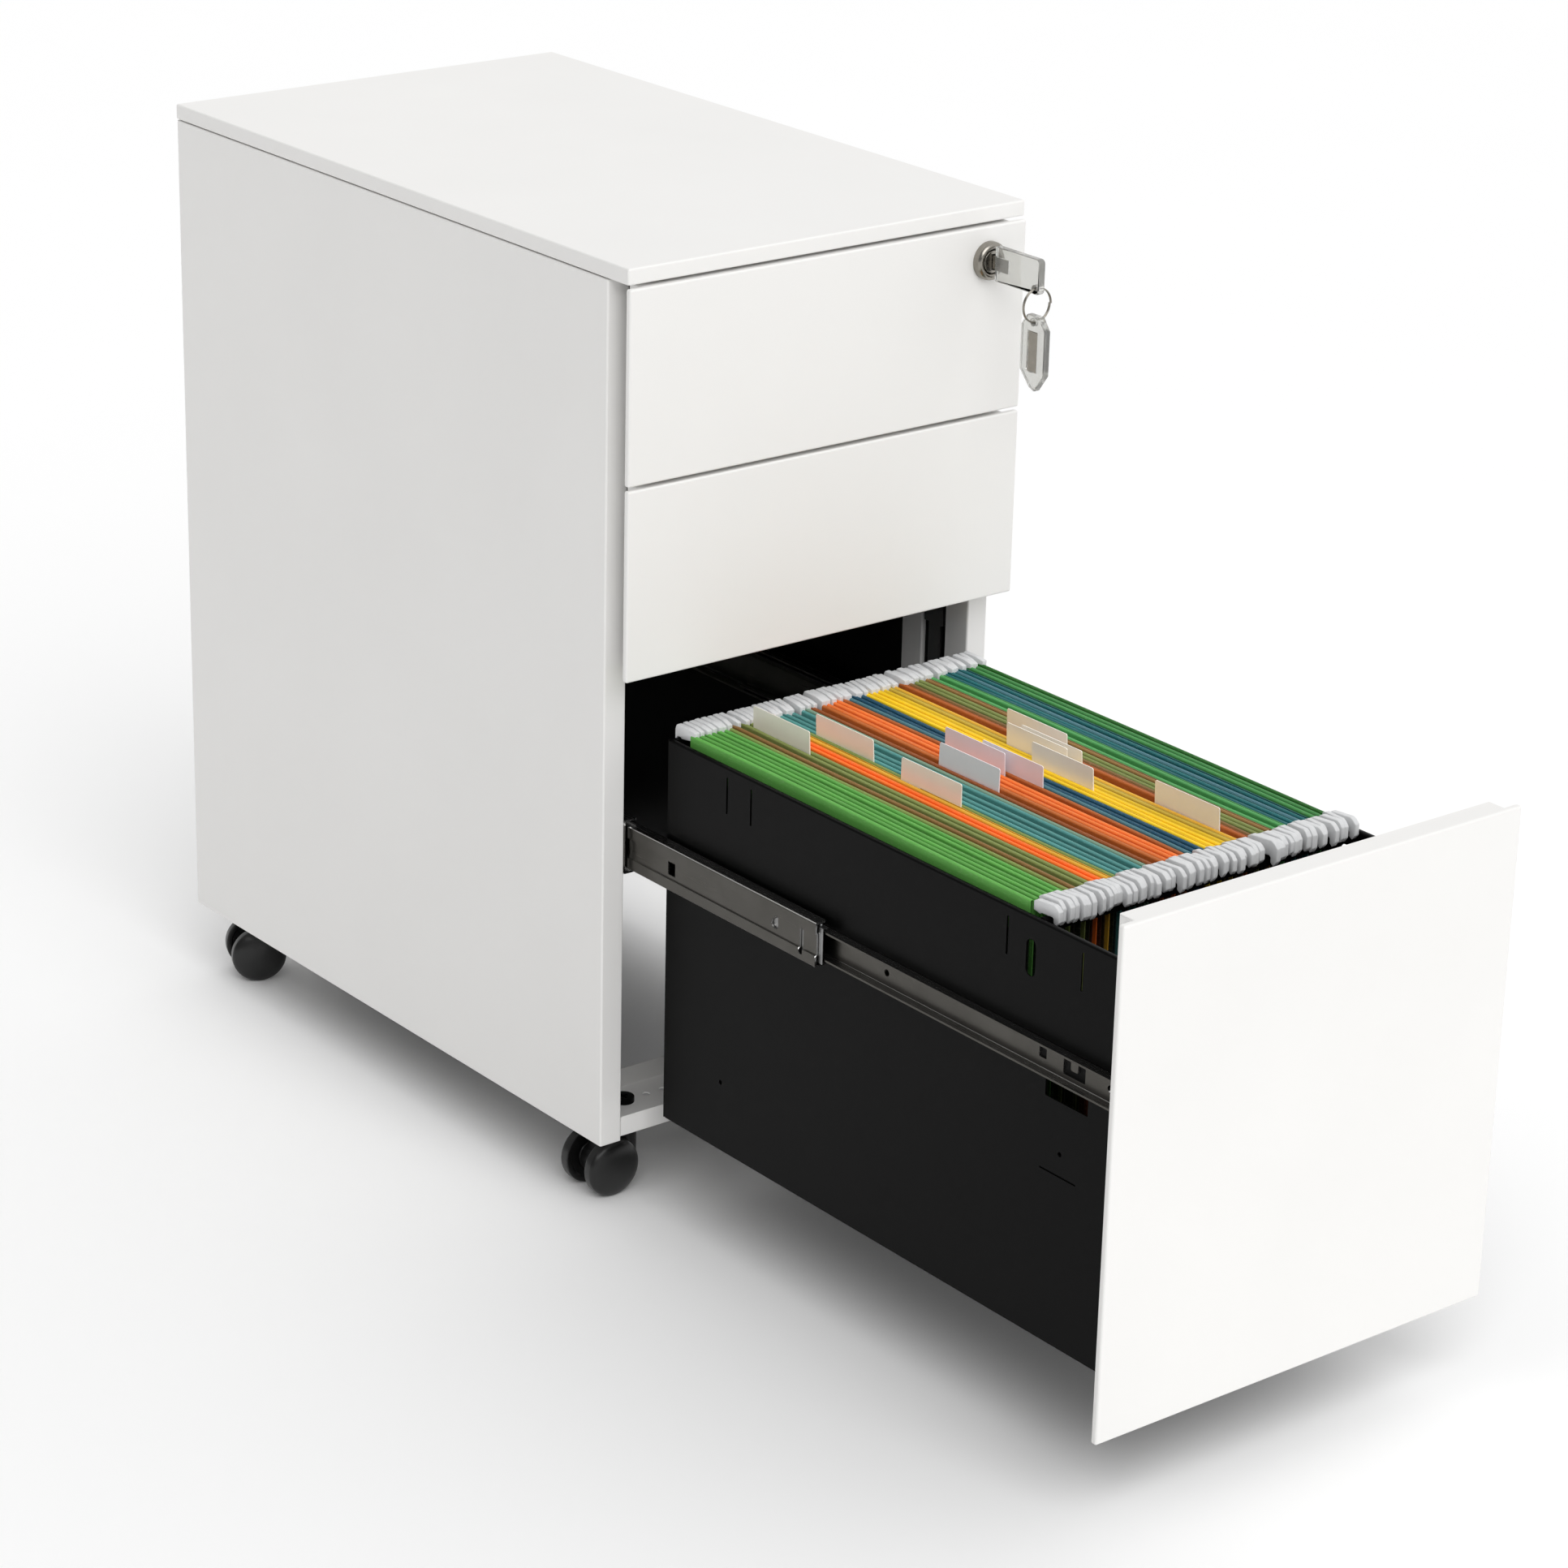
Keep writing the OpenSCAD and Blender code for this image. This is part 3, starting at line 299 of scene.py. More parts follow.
def moulded_nylon(name, dark, light, rough):
    """Glass-filled nylon from a polished mould: a soft shine over a very fine flow texture."""
    material, tree, place = blank_finish(name)
    flow = add(tree, "ShaderNodeTexNoise", {}, {"Vector": place, "Scale": 1 / 0.006, "Detail": 4.0})
    fibre = add(tree, "ShaderNodeTexNoise", {}, {"Vector": place, "Scale": 1 / 0.0005, "Detail": 2.0})
    tone = add(tree, "ShaderNodeMix", {"data_type": "RGBA"},
        {0: flow.outputs["Fac"], 6: linear(dark), 7: linear(light)})
    shine = add(tree, "ShaderNodeMapRange", {},
        {"Value": flow.outputs["Fac"], "To Min": rough - 0.05, "To Max": rough + 0.08})
    skin = add(tree, "ShaderNodeBump", {},
        {"Strength": 0.1, "Distance": 0.00004, "Height": fibre.outputs["Fac"]})
    shader = add(tree, "ShaderNodeBsdfPrincipled", {},
        {"Base Color": tone.outputs[2], "Roughness": shine.outputs[0], "Normal": skin.outputs[0]})
    add(tree, "ShaderNodeOutputMaterial", {}, {"Surface": shader.outputs[0]})
    return material


def lathe(profile, steps=64):
    """Turns an outline of (radius, height) points round the Z axis into a closed shape."""
    bm = bmesh.new()
    rings = []
    for radius, height in profile:
        if radius < 1e-7:
            rings.append([bm.verts.new((0, 0, height))] * steps)
            continue
        turns = (2 * math.pi * i / steps for i in range(steps))
        rings.append([bm.verts.new((radius * math.cos(a), radius * math.sin(a), height)) for a in turns])
    for lower, upper in zip(rings, rings[1:] + rings[:1]):
        for i in range(steps):
            corners = [lower[i], lower[(i + 1) % steps], upper[(i + 1) % steps], upper[i]]
            corners = [v for k, v in enumerate(corners) if v not in corners[:k]]
            if len(corners) > 2:
                bm.faces.new(corners)
    bmesh.ops.recalc_face_normals(bm, faces=bm.faces)
    return bm


nylon = moulded_nylon("black_moulded_nylon", "#0C0C0C", "#151515", 0.30)
wheel_turn = {}
for joint in frame["joints"]:
    if joint["name"].startswith("wheel_"):
        wheel_turn[joint["child"]] = (Vector(joint["pos_m"]), Vector(joint["axis"]).normalized())
# Wheel outline, from the bore round the dished inner face, over the tread and down the dome.
# Heights count outwards from the inner face, which is HALF_GAP from the fork's middle
WHEEL_R = 0.019
BORE_R = 0.0031
HALF_GAP = 0.009
TREAD_W = 0.0055
DOME_RISE = 0.0064
DOME_STEPS = 14
AXLE_DEPTH = 0.0095
DISH = 0.0012
dome = [(WHEEL_R * math.cos(a), TREAD_W + DOME_RISE * math.sin(a))
        for a in (math.pi / 2 * i / DOME_STEPS for i in range(DOME_STEPS + 1))]
outline = [(BORE_R, AXLE_DEPTH), (BORE_R, 0.0), (0.0075, 0.0), (0.0085, DISH), (0.0145, DISH),
           (0.0155, 0.0), (0.018, 0.0), (0.0187, 0.0004), (WHEEL_R, 0.0012)]
outline += dome[:-1] + [(0.0, dome[-1][1]), (0.0, AXLE_DEPTH)]
for name, (centre, axis) in wheel_turn.items():
    lo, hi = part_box(name)
    side = 1 if ((lo + hi) / 2 - centre).dot(axis) > 0 else -1
    bm = lathe(outline)
    bm.transform(Matrix.Translation(centre + axis * side * HALF_GAP)
                 @ (axis * side).to_track_quat("Z", "Y").to_matrix().to_4x4())
    piece(name + "_moulded", bm, nylon, name)
FORK_ROUND = 0.0012
for corner in ("fl", "fr", "bl", "br"):
    bm = round_edges(joined_copy("caster_fork_" + corner), FORK_ROUND)
    piece("caster_fork_" + corner + "_moulded", bm, nylon, "caster_fork_" + corner)
    finish_node("caster_axle_" + corner, dull_zinc)

# ----------------------------------------------------------------- Hanging folders
# Dyed card folded to a trough. Each flap is hemmed round a steel rod, and a moulded hook on
# each end of the rod hangs it on the rail in front and on the drawer's rear rim.


def dimmed(colour, share):
    """A linear colour at a share of its brightness."""
    return [c * share for c in colour[:3]] + [1]


def dyed_card(name):
    """Recycled card, dyed in the pulp: matt, with short fibres and a slightly uneven dye."""
    material, tree, place = blank_finish(name)
    # The dye attribute holds the card's dye, and the painted shade low down on each folder
    dye = add(tree, "ShaderNodeAttribute", {"attribute_name": "dye"}).outputs["Color"]
    # Fibres lie along the card's grain: 0.3 mm wide and 3 mm long
    grain = add(tree, "ShaderNodeMapping", {},
        {"Vector": place, "Scale": (1 / 0.0003, 1 / 0.003, 1 / 0.0006)})
    fibre = add(tree, "ShaderNodeTexNoise", {}, {"Vector": grain.outputs[0], "Scale": 1.0, "Detail": 3.0})
    cloud = add(tree, "ShaderNodeTexNoise", {}, {"Vector": place, "Scale": 1 / 0.02, "Detail": 3.0})
    uneven = add(tree, "ShaderNodeMapRange", {},
        {"Value": cloud.outputs["Fac"], "To Min": 0.88, "To Max": 1.1})
    pale = add(tree, "ShaderNodeMapRange", {},
        {"Value": fibre.outputs["Fac"], "From Min": 0.55, "From Max": 0.8, "To Min": 0.0, "To Max": 0.12})
    shade = add(tree, "ShaderNodeVectorMath", {"operation": "SCALE"},
        {0: dye, "Scale": uneven.outputs[0]})
    flecked = add(tree, "ShaderNodeMix", {"data_type": "RGBA"},
        {0: pale.outputs[0], 6: shade.outputs[0], 7: linear("#EDE6D2")})
    tooth = add(tree, "ShaderNodeBump", {},
        {"Strength": 0.25, "Distance": 0.0001, "Height": fibre.outputs["Fac"]})
    shader = add(tree, "ShaderNodeBsdfPrincipled", {},
        {"Base Color": flecked.outputs[2], "Roughness": 0.62, "Normal": tooth.outputs[0]})
    add(tree, "ShaderNodeOutputMaterial", {}, {"Surface": shader.outputs[0]})
    return material


CARD = 0.00035
ROD_R = 0.0011
HEM = 0.011
# A folder's floor is a narrow flat. The card starts to bend towards it a little higher up
TROUGH_HALF = 0.0006
BEND_RISE = 0.004
# How thick a folder's loose card is, and how far below the rods it reaches
LOOSE_CARD = 0.0006
LOOSE_DEPTH = 0.15
# The share of the dye's brightness low down: a painted shade for the dark below the hems, where little
# light reaches
PAINTED_SHADE_SHARE = 0.04
DYES = {"green": "#62AE4C", "moss": "#84984B", "bark": "#8F6A36", "olive": "#87944E",
        "rust": "#BE6424", "orange": "#FF741C", "amber": "#FFC233", "teal": "#559C98",
        "sage": "#7A9A84", "brown": "#A05420", "coral": "#FF8234", "slate": "#4B7C88",
        "navy": "#16506A", "yellow": "#FFD414", "straw": "#D8B83C", "leaf": "#54AA5E",
        "petrol": "#12686C", "fern": "#43904A", "forest": "#22701E"}
# How many neighbouring flaps share a dye, from the left side of the drawer to the right
RUNS = (("green", 6), ("moss", 1), ("bark", 1), ("olive", 2), ("orange", 2), ("amber", 1),
        ("moss", 1), ("teal", 4), ("sage", 1), ("brown", 1), ("rust", 1), ("coral", 3),
        ("rust", 1), ("slate", 1), ("navy", 2), ("yellow", 4), ("straw", 1), ("amber", 1),
        ("rust", 1), ("bark", 1), ("olive", 2), ("bark", 1), ("leaf", 2), ("petrol", 2),
        ("slate", 1), ("petrol", 1), ("fern", 2), ("forest", 1))
flap_dyes = [dye for dye, count in RUNS for _ in range(count)]
# Flaps are pushed together in bunches with a little air between them
BUNCHES = (8, 9, 3, 14, 6, 5, 3)
BUNCH_GAP = 0.0026
FLAP_SLACK = 0.0004
HOOK_W = 0.0041
ROD_BELOW_TOP = 0.0036
folder_lo, folder_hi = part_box("hanging_folders")
rail_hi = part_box("hanger_rail")[1]
rim_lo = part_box("file_back")[0]
dice = random.Random(7)
span = folder_hi.x - folder_lo.x - HOOK_W - BUNCH_GAP * (len(BUNCHES) - 1)
flap_pitch = span / (sum(BUNCHES) - 1)
flap_x = []
x = folder_lo.x + HOOK_W / 2
for bunch in BUNCHES:
    for _ in range(bunch):
        flap_x.append(x + dice.uniform(-FLAP_SLACK, FLAP_SLACK))
        x += flap_pitch
    x += BUNCH_GAP
rod_z = folder_hi.z - ROD_BELOW_TOP
# The card stops short of the rail and of the rim, where the hooks begin
card_y0 = rail_hi.y + 0.0115
card_y1 = rim_lo.y - 0.0085
STATIONS = 13


def strip(bm, dye_and_shade_layer, line, thickness, bow, colours_with_shade):
    """Sweeps a card's cross-section along the drawer. line holds (x, z) points of the card's
    middle, bow is how far it sways sideways, and colours_with_shade gives the colour at each point: the
    dye, with painted shade low down."""
    sides = []
    for i, point in enumerate(line):
        before, after = line[max(i - 1, 0)], line[min(i + 1, len(line) - 1)]
        normal = (after - before).orthogonal().normalized() * thickness / 2
        sides.append((point + normal, point - normal))
    ring = [s[0] for s in sides] + [s[1] for s in reversed(sides)]
    ring_colours_with_shade = list(colours_with_shade) + list(reversed(colours_with_shade))
    rings = []
    for k in range(STATIONS):
        t = k / (STATIONS - 1)
        sway = bow[0] * math.sin(math.pi * t) + bow[1] * math.sin(2 * math.pi * t)
        y = card_y0 + (card_y1 - card_y0) * t
        rings.append([bm.verts.new((p.x + sway, y, p.y)) for p in ring])
        for vert, dye in zip(rings[-1], ring_colours_with_shade):
            vert[dye_and_shade_layer] = dye
    count = len(ring)
    for near, far in zip(rings, rings[1:]):
        for i in range(count):
            bm.faces.new((near[i], near[(i + 1) % count], far[(i + 1) % count], far[i]))
    half = len(line)
    for end in (rings[0], rings[-1]):
        for i in range(half - 1):
            bm.faces.new((end[i], end[i + 1], end[count - 2 - i], end[count - 1 - i]))


ARC_STEPS = 6
cards = bmesh.new()
dye_and_shade_layer = cards.verts.layers.float_color.new("dye")
floor_z = folder_lo.z + 0.002
for i in range(0, len(flap_x), 2):
    left, right = flap_x[i], flap_x[i + 1]
    middle = (left + right) / 2
    tones = []
    for flap in (i, i + 1):
        tones.append(dimmed(linear(DYES[flap_dyes[flap]]), dice.uniform(0.82, 1.12)))
    arc = [math.pi * k / ARC_STEPS for k in range(ARC_STEPS + 1)]
    line = [Vector((left + ROD_R * 1.2, rod_z - HEM))]
    line += [Vector((left + ROD_R * math.cos(a), rod_z + ROD_R * math.sin(a))) for a in arc]
    line += [Vector((left - ROD_R, rod_z - HEM)), Vector((left - ROD_R, rod_z - 2 * HEM))]
    line.append(Vector((middle - 2 * TROUGH_HALF, floor_z + BEND_RISE)))
    line += [Vector((middle - TROUGH_HALF, floor_z)), Vector((middle + TROUGH_HALF, floor_z))]
    line.append(Vector((middle + 2 * TROUGH_HALF, floor_z + BEND_RISE)))
    line += [Vector((right + ROD_R, rod_z - 2 * HEM)), Vector((right + ROD_R, rod_z - HEM))]
    line += [Vector((right + ROD_R * math.cos(a), rod_z + ROD_R * math.sin(a))) for a in arc]
    line += [Vector((right - ROD_R * 1.2, rod_z - HEM))]
    # The hems keep the full dye; further down, the card is darkened by a painted shade
    shaded_tones = [dimmed(tone, PAINTED_SHADE_SHARE) for tone in tones]
    hem = len(arc) + 2
    shades = [tones[0]] * hem + [shaded_tones[0]] * 3 + [shaded_tones[1]] * 3 + [tones[1]] * hem
    bow = (dice.uniform(-0.0011, 0.0011), dice.uniform(-0.0007, 0.0007))
    strip(cards, dye_and_shade_layer, line, CARD, bow, shades)
    # A loose card inside the folder stands a little lower than its rods
    drop = dice.uniform(0.0002, 0.0022)
    inner = [Vector((middle, rod_z - LOOSE_DEPTH)), Vector((middle, rod_z + ROD_R - drop))]
    # The loose card's foot is darkened by the same painted shade
    strip(cards, dye_and_shade_layer, inner, LOOSE_CARD, bow, [shaded_tones[0], dimmed(tones[0], 0.8)])
bmesh.ops.recalc_face_normals(cards, faces=cards.faces)
piece("folder_cards", cards, dyed_card("pulp_dyed_card"), "hanging_folders")


def moulded_polypropylene(name, colour, rough):
    """Unfilled polypropylene: milky, slightly translucent, with a dull shine."""
    material, tree, place = blank_finish(name)
    milk = add(tree, "ShaderNodeTexNoise", {}, {"Vector": place, "Scale": 1 / 0.004, "Detail": 3.0})
    tone = add(tree, "ShaderNodeMix", {"data_type": "RGBA"},
        {0: milk.outputs["Fac"], 6: dimmed(linear(colour), 0.9), 7: linear(colour)})
    skin = add(tree, "ShaderNodeBump", {},
        {"Strength": 0.15, "Distance": 0.0001, "Height": milk.outputs["Fac"]})
    shader = add(tree, "ShaderNodeBsdfPrincipled", {},
        {"Base Color": tone.outputs[2], "Roughness": rough, "Normal": skin.outputs[0],
         "Subsurface Weight": 0.15, "Subsurface Radius": (0.001, 0.001, 0.001)})
    add(tree, "ShaderNodeOutputMaterial", {}, {"Surface": shader.outputs[0]})
    return material


HOOK_ROUND = 0.0005
SEAT_GAP = 0.0002


def hook_pattern(name, tail, gap, reach):
    """One hook at its own origin, where its notch begins. The tail lies on the folder's rod
    towards +y, the notch spans the rail over gap, and the nose ends at reach, towards -y."""
    seat = rail_hi.z - rod_z + SEAT_GAP
    nose = (gap + reach) / 2
    outline = [(tail, -0.003), (tail, 0.003), (tail / 2, 0.0044), (-gap, 0.0048),
               (-nose, 0.0036), (-reach, 0.0012), (-reach, -0.0056), (-nose, -0.0086),
               (-gap, -0.007), (-gap, seat - 0.0008), (-gap + 0.0008, seat), (-0.0008, seat),
               (0.0, seat - 0.001)]
    hook = bmesh.new()
    face = hook.faces.new([hook.verts.new((-HOOK_W / 2, y, z)) for y, z in outline])
    grown = bmesh.ops.extrude_face_region(hook, geom=[face])
    bmesh.ops.translate(hook, vec=(HOOK_W, 0, 0),
        verts=[v for v in grown["geom"] if isinstance(v, bmesh.types.BMVert)])
    bmesh.ops.recalc_face_normals(hook, faces=hook.faces)
    bmesh.ops.bevel(hook, geom=list(hook.edges), offset=HOOK_ROUND, offset_type="OFFSET",
        segments=2, profile=0.5, affect="EDGES", clamp_overlap=True)
    for face in hook.faces:
        face.smooth = True
    mesh = bpy.data.meshes.new(name)
    hook.to_mesh(mesh)
    hook.free()
    pattern = bpy.data.objects.new(name, mesh)
    bpy.context.scene.collection.objects.link(pattern)
    return pattern


milky = moulded_polypropylene("milky_polypropylene", "#DDDEDF", 0.42)

tree = bpy.data.node_groups.new("hooks_on_rods", "GeometryNodeTree")
sockets = {}
for name, kind in (("Points", "Geometry"), ("Pattern", "Object"), ("Sway", "Float"),
                   ("Seed", "Int"), ("Least size", "Vector"), ("Most size", "Vector"),
                   ("Finish", "Material")):
    sockets[name] = tree.interface.new_socket(name, in_out="INPUT", socket_type="NodeSocket" + kind)
tree.interface.new_socket("Geometry", in_out="OUTPUT", socket_type="NodeSocketGeometry")
given = add(tree, "NodeGroupInput")
shape = add(tree, "GeometryNodeObjectInfo", {}, {"Object": given.outputs["Pattern"]})
less = add(tree, "ShaderNodeMath", {"operation": "MULTIPLY"}, {0: given.outputs["Sway"], 1: -1.0})
sway = add(tree, "FunctionNodeRandomValue", {"data_type": "FLOAT"},
    {2: less.outputs[0], 3: given.outputs["Sway"], "Seed": given.outputs["Seed"]})
facing = add(tree, "GeometryNodeInputNamedAttribute", {"data_type": "FLOAT"}, {"Name": "facing"})
turn = add(tree, "ShaderNodeMath", {"operation": "ADD"},
    {0: facing.outputs["Attribute"], 1: sway.outputs[1]})
turned = add(tree, "ShaderNodeCombineXYZ", {}, {"Z": turn.outputs[0]})
size = add(tree, "FunctionNodeRandomValue", {"data_type": "FLOAT_VECTOR"},
    {0: given.outputs["Least size"], 1: given.outputs["Most size"], "Seed": given.outputs["Seed"]})
placed = add(tree, "GeometryNodeInstanceOnPoints", {},
    {"Points": given.outputs["Points"], "Instance": shape.outputs["Geometry"],
     "Rotation": turned.outputs[0], "Scale": size.outputs[0]})
real = add(tree, "GeometryNodeRealizeInstances", {}, {0: placed.outputs[0]})
painted = add(tree, "GeometryNodeSetMaterial", {},
    {"Geometry": real.outputs[0], "Material": given.outputs["Finish"]})
add(tree, "NodeGroupOutput", {}, {0: painted.outputs[0]})


def realise(carrier):
    """Turns what an object's Geometry Nodes make into its own plain mesh."""
    graph = bpy.context.evaluated_depsgraph_get()
    mesh = bpy.data.meshes.new_from_object(carrier.evaluated_get(graph), depsgraph=graph)
    carrier.modifiers.clear()
    carrier.data = mesh


# The front hooks have room for a fat nose. The rear ones are slim, so that a folder lifts
# clear of the drawer front above
FRONT_HOOK = {"tail": 0.0055, "gap": 0.0108, "reach": 0.0154}
REAR_HOOK = {"tail": 0.0125, "gap": 0.0043, "reach": 0.0058}
# Each row: its end of the drawer, its hook, where the hooks start, the way they turn, how far
# they stray along their rods, and the least and most that their width, length and height vary
HOOK_ROWS = (
    ("front", FRONT_HOOK, rail_hi.y + 0.0033, 0.0, 0.0014, (0.66, 0.86, 0.8), (1.0, 1.06, 1.14)),
    ("rear", REAR_HOOK, rim_lo.y - 0.0001, math.pi, 0.0001, (0.7, 0.97, 0.86), (1.0, 1.03, 1.06)))
HOOK_SWAY = math.radians(7)
for end, sizes, start, way, slack, least, most in HOOK_ROWS:
    pattern = hook_pattern("hook_pattern", **sizes)
    spots = bmesh.new()
    facing_layer = spots.verts.layers.float.new("facing")
    for flap in flap_x:
        y = start + dice.uniform(-slack, slack)
        spot = spots.verts.new((flap, y, rod_z + dice.uniform(0.0, 0.0006)))
        spot[facing_layer] = way
    hook_mesh = bpy.data.meshes.new("folder_hooks_" + end)
    spots.to_mesh(hook_mesh)
    spots.free()
    hooks = bpy.data.objects.new("folder_hooks_" + end, hook_mesh)
    bpy.context.scene.collection.objects.link(hooks)
    maker = hooks.modifiers.new("hooks_on_rods", "NODES")
    maker.node_group = tree
    for name, value in (("Pattern", pattern), ("Sway", HOOK_SWAY), ("Seed", 3),
                        ("Least size", least), ("Most size", most), ("Finish", milky)):
        maker[sockets[name].identifier] = value
    realise(hooks)
    bpy.data.objects.remove(pattern)
    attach(hooks, "folders")

# ----------------------------------------------------------------- Index tabs
# Thin tinted vinyl sleeves with a card slip inside. They are cut from sheet, with two corners
# taken off, and clip to the folders' hems.


def tinted_sleeve(name, colour):
    """Pressed vinyl over a paper slip: a flat pale face under a thin, clear, glossy skin."""
    material, tree, place = blank_finish(name)
    slip = add(tree, "ShaderNodeTexNoise", {}, {"Vector": place, "Scale": 1 / 0.012, "Detail": 5.0})
    tone = add(tree, "ShaderNodeMix", {"data_type": "RGBA"},
        {0: slip.outputs["Fac"], 6: dimmed(linear(colour), 0.93), 7: linear(colour)})
    wave = add(tree, "ShaderNodeBump", {},
        {"Strength": 0.2, "Distance": 0.0005, "Height": slip.outputs["Fac"]})
    shader = add(tree, "ShaderNodeBsdfPrincipled", {},
        {"Base Color": tone.outputs[2], "Roughness": 0.38, "Normal": wave.outputs[0],
         "Coat Weight": 0.4, "Coat Roughness": 0.12})
    add(tree, "ShaderNodeOutputMaterial", {}, {"Surface": shader.outputs[0]})
    return material


TAB_L = 0.054
TAB_RISE = 0.0135
TAB_T = 0.0007
TAB_ROOT = 0.004
TAB_LEAN = 0.0012
CUT = 0.0008
# Each tab: the flap it is clipped to, and its middle's distance behind the hanger rail
tab_places = {
    "beige": ((8, 0.284), (13, 0.252), (12, 0.167), (34, 0.194), (32, 0.168), (31, 0.176),
              (29, 0.143), (33, 0.055)),
    "lilac": ((23, 0.191), (24, 0.162), (19, 0.173))}
for tint, hex_colour in (("beige", "#FFF9EE"), ("lilac", "#F6F0F4")):
    bm = bmesh.new()
    for flap, behind in tab_places[tint]:
        lean = dice.uniform(-TAB_LEAN, TAB_LEAN)
        low, high = rod_z - TAB_ROOT, rod_z + ROD_R + TAB_RISE
        x0 = flap_x[flap] + ROD_R + CARD
        y0 = rail_hi.y + behind - TAB_L / 2
        # Outline of one face, with its upper corners cut; the sleeve is a little fatter low down
        flat = [(0, low), (TAB_L, low), (TAB_L, high - CUT), (TAB_L - CUT, high), (CUT, high),
                (0, high - CUT)]
        near = []
        far = []
        for y, z in flat:
            share = (z - low) / (high - low)
            near.append(bm.verts.new((x0 + lean * share, y0 + y, z)))
            far.append(bm.verts.new((x0 + lean * share + TAB_T * (1.4 - share * 0.6), y0 + y, z)))
        bm.faces.new(near)
        bm.faces.new(list(reversed(far)))
        for i in range(len(flat)):
            j = (i + 1) % len(flat)
            bm.faces.new((near[j], near[i], far[i], far[j]))
    bmesh.ops.recalc_face_normals(bm, faces=bm.faces)
    piece("index_tabs_" + tint, bm, tinted_sleeve(tint + "_tab_sleeve", hex_colour),
        "hanging_folders", replaces=False)

# ----------------------------------------------------------------- Lock
# Die-cast zinc, barrel-plated with nickel and tumbled satin: a domed ring, and a plug with
# the keyway in its face.


def satin_nickel(name, dark, light, rough):
    """Nickel over a tumbled casting: warm grey metal with a soft, slightly cloudy shine."""
    material, tree, place = blank_finish(name)
    cloud = add(tree, "ShaderNodeTexNoise", {}, {"Vector": place, "Scale": 1 / 0.005, "Detail": 5.0})
    scratch = add(tree, "ShaderNodeTexNoise", {}, {"Vector": place, "Scale": 1 / 0.0004, "Detail": 2.0})
    tone = add(tree, "ShaderNodeMix", {"data_type": "RGBA"},
        {0: cloud.outputs["Fac"], 6: linear(dark), 7: linear(light)})
    shine = add(tree, "ShaderNodeMapRange", {},
        {"Value": cloud.outputs["Fac"], "To Min": rough - 0.06, "To Max": rough + 0.08})
    tumbled = add(tree, "ShaderNodeBump", {},
        {"Strength": 0.15, "Distance": 0.00003, "Height": scratch.outputs["Fac"]})
    shader = add(tree, "ShaderNodeBsdfPrincipled", {},
        {"Base Color": tone.outputs[2], "Metallic": 1.0, "Roughness": shine.outputs[0],
         "Normal": tumbled.outputs[0]})
    add(tree, "ShaderNodeOutputMaterial", {}, {"Surface": shader.outputs[0]})
    return material


nickel = satin_nickel("satin_nickel_plate", "#858179", "#A8A49C", 0.25)
ring_lo, ring_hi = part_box("lock_housing")
lock_x = (ring_lo.x + ring_hi.x) / 2
lock_z = (ring_lo.z + ring_hi.z) / 2
face_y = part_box("top_front")[0].y
RING_R = (ring_hi.x - ring_lo.x) / 2
RING_T = face_y - ring_lo.y
BARREL_R = 0.009
PLUG_BORE = 0.00706
RING_STEPS = 16
# Heights run out of the front's face: barrel behind, then the half-round ring, then the bore
swell = (RING_R - PLUG_BORE) / 2
waist = 0.35 * RING_T
housing = [(BARREL_R, face_y - ring_hi.y), (BARREL_R, 0.0), (RING_R, 0.0)]
housing += [(RING_R - swell + swell * math.cos(a), waist + (RING_T - waist) * math.sin(a))
            for a in (math.pi * i / RING_STEPS for i in range(RING_STEPS + 1))]
housing += [(PLUG_BORE, face_y - ring_hi.y)]
bm = lathe(housing, 72)
bm.transform(Matrix.Translation((lock_x, face_y, lock_z)) @ Matrix.Rotation(math.pi / 2, 4, "X"))
piece("lock_housing_cast", bm, nickel, "lock_housing")
TUMBLED_EDGE = 0.0003
for node in ("lock_plug", "lock_nut", "key_blade", "spare_key_blade"):
    bm = round_edges(joined_copy(node), TUMBLED_EDGE, thinnest=0.0007)
    piece(node + "_plated", bm, nickel, node)

# ----------------------------------------------------------------- Keys
# Clear acrylic heads moulded round the blades, and a split ring of nickel plated spring
# wire that makes two turns.


def clear_acrylic(name, colour):
    """Moulded acrylic: clear, a little smoky, with faint flow lines that bend the light."""
    material, tree, place = blank_finish(name)
    flow = add(tree, "ShaderNodeTexNoise", {}, {"Vector": place, "Scale": 1 / 0.006, "Detail": 3.0})
    tone = add(tree, "ShaderNodeMix", {"data_type": "RGBA"},
        {0: flow.outputs["Fac"], 6: dimmed(linear(colour), 0.92), 7: linear(colour)})
    bend = add(tree, "ShaderNodeBump", {},
        {"Strength": 0.3, "Distance": 0.0004, "Height": flow.outputs["Fac"]})
    shader = add(tree, "ShaderNodeBsdfPrincipled", {},
        {"Base Color": tone.outputs[2], "Roughness": 0.09, "Normal": bend.outputs[0],
         "IOR": 1.49, "Transmission Weight": 0.82})
    add(tree, "ShaderNodeOutputMaterial", {}, {"Surface": shader.outputs[0]})
    return material


acrylic = clear_acrylic("clear_moulded_acrylic", "#E4E4E0")
HEAD_ROUND = 0.0009
for node in ("key_head", "spare_key_head"):
    bm = round_edges(joined_copy(node), HEAD_ROUND, thinnest=0.0012)
    piece(node + "_moulded", bm, acrylic, node)

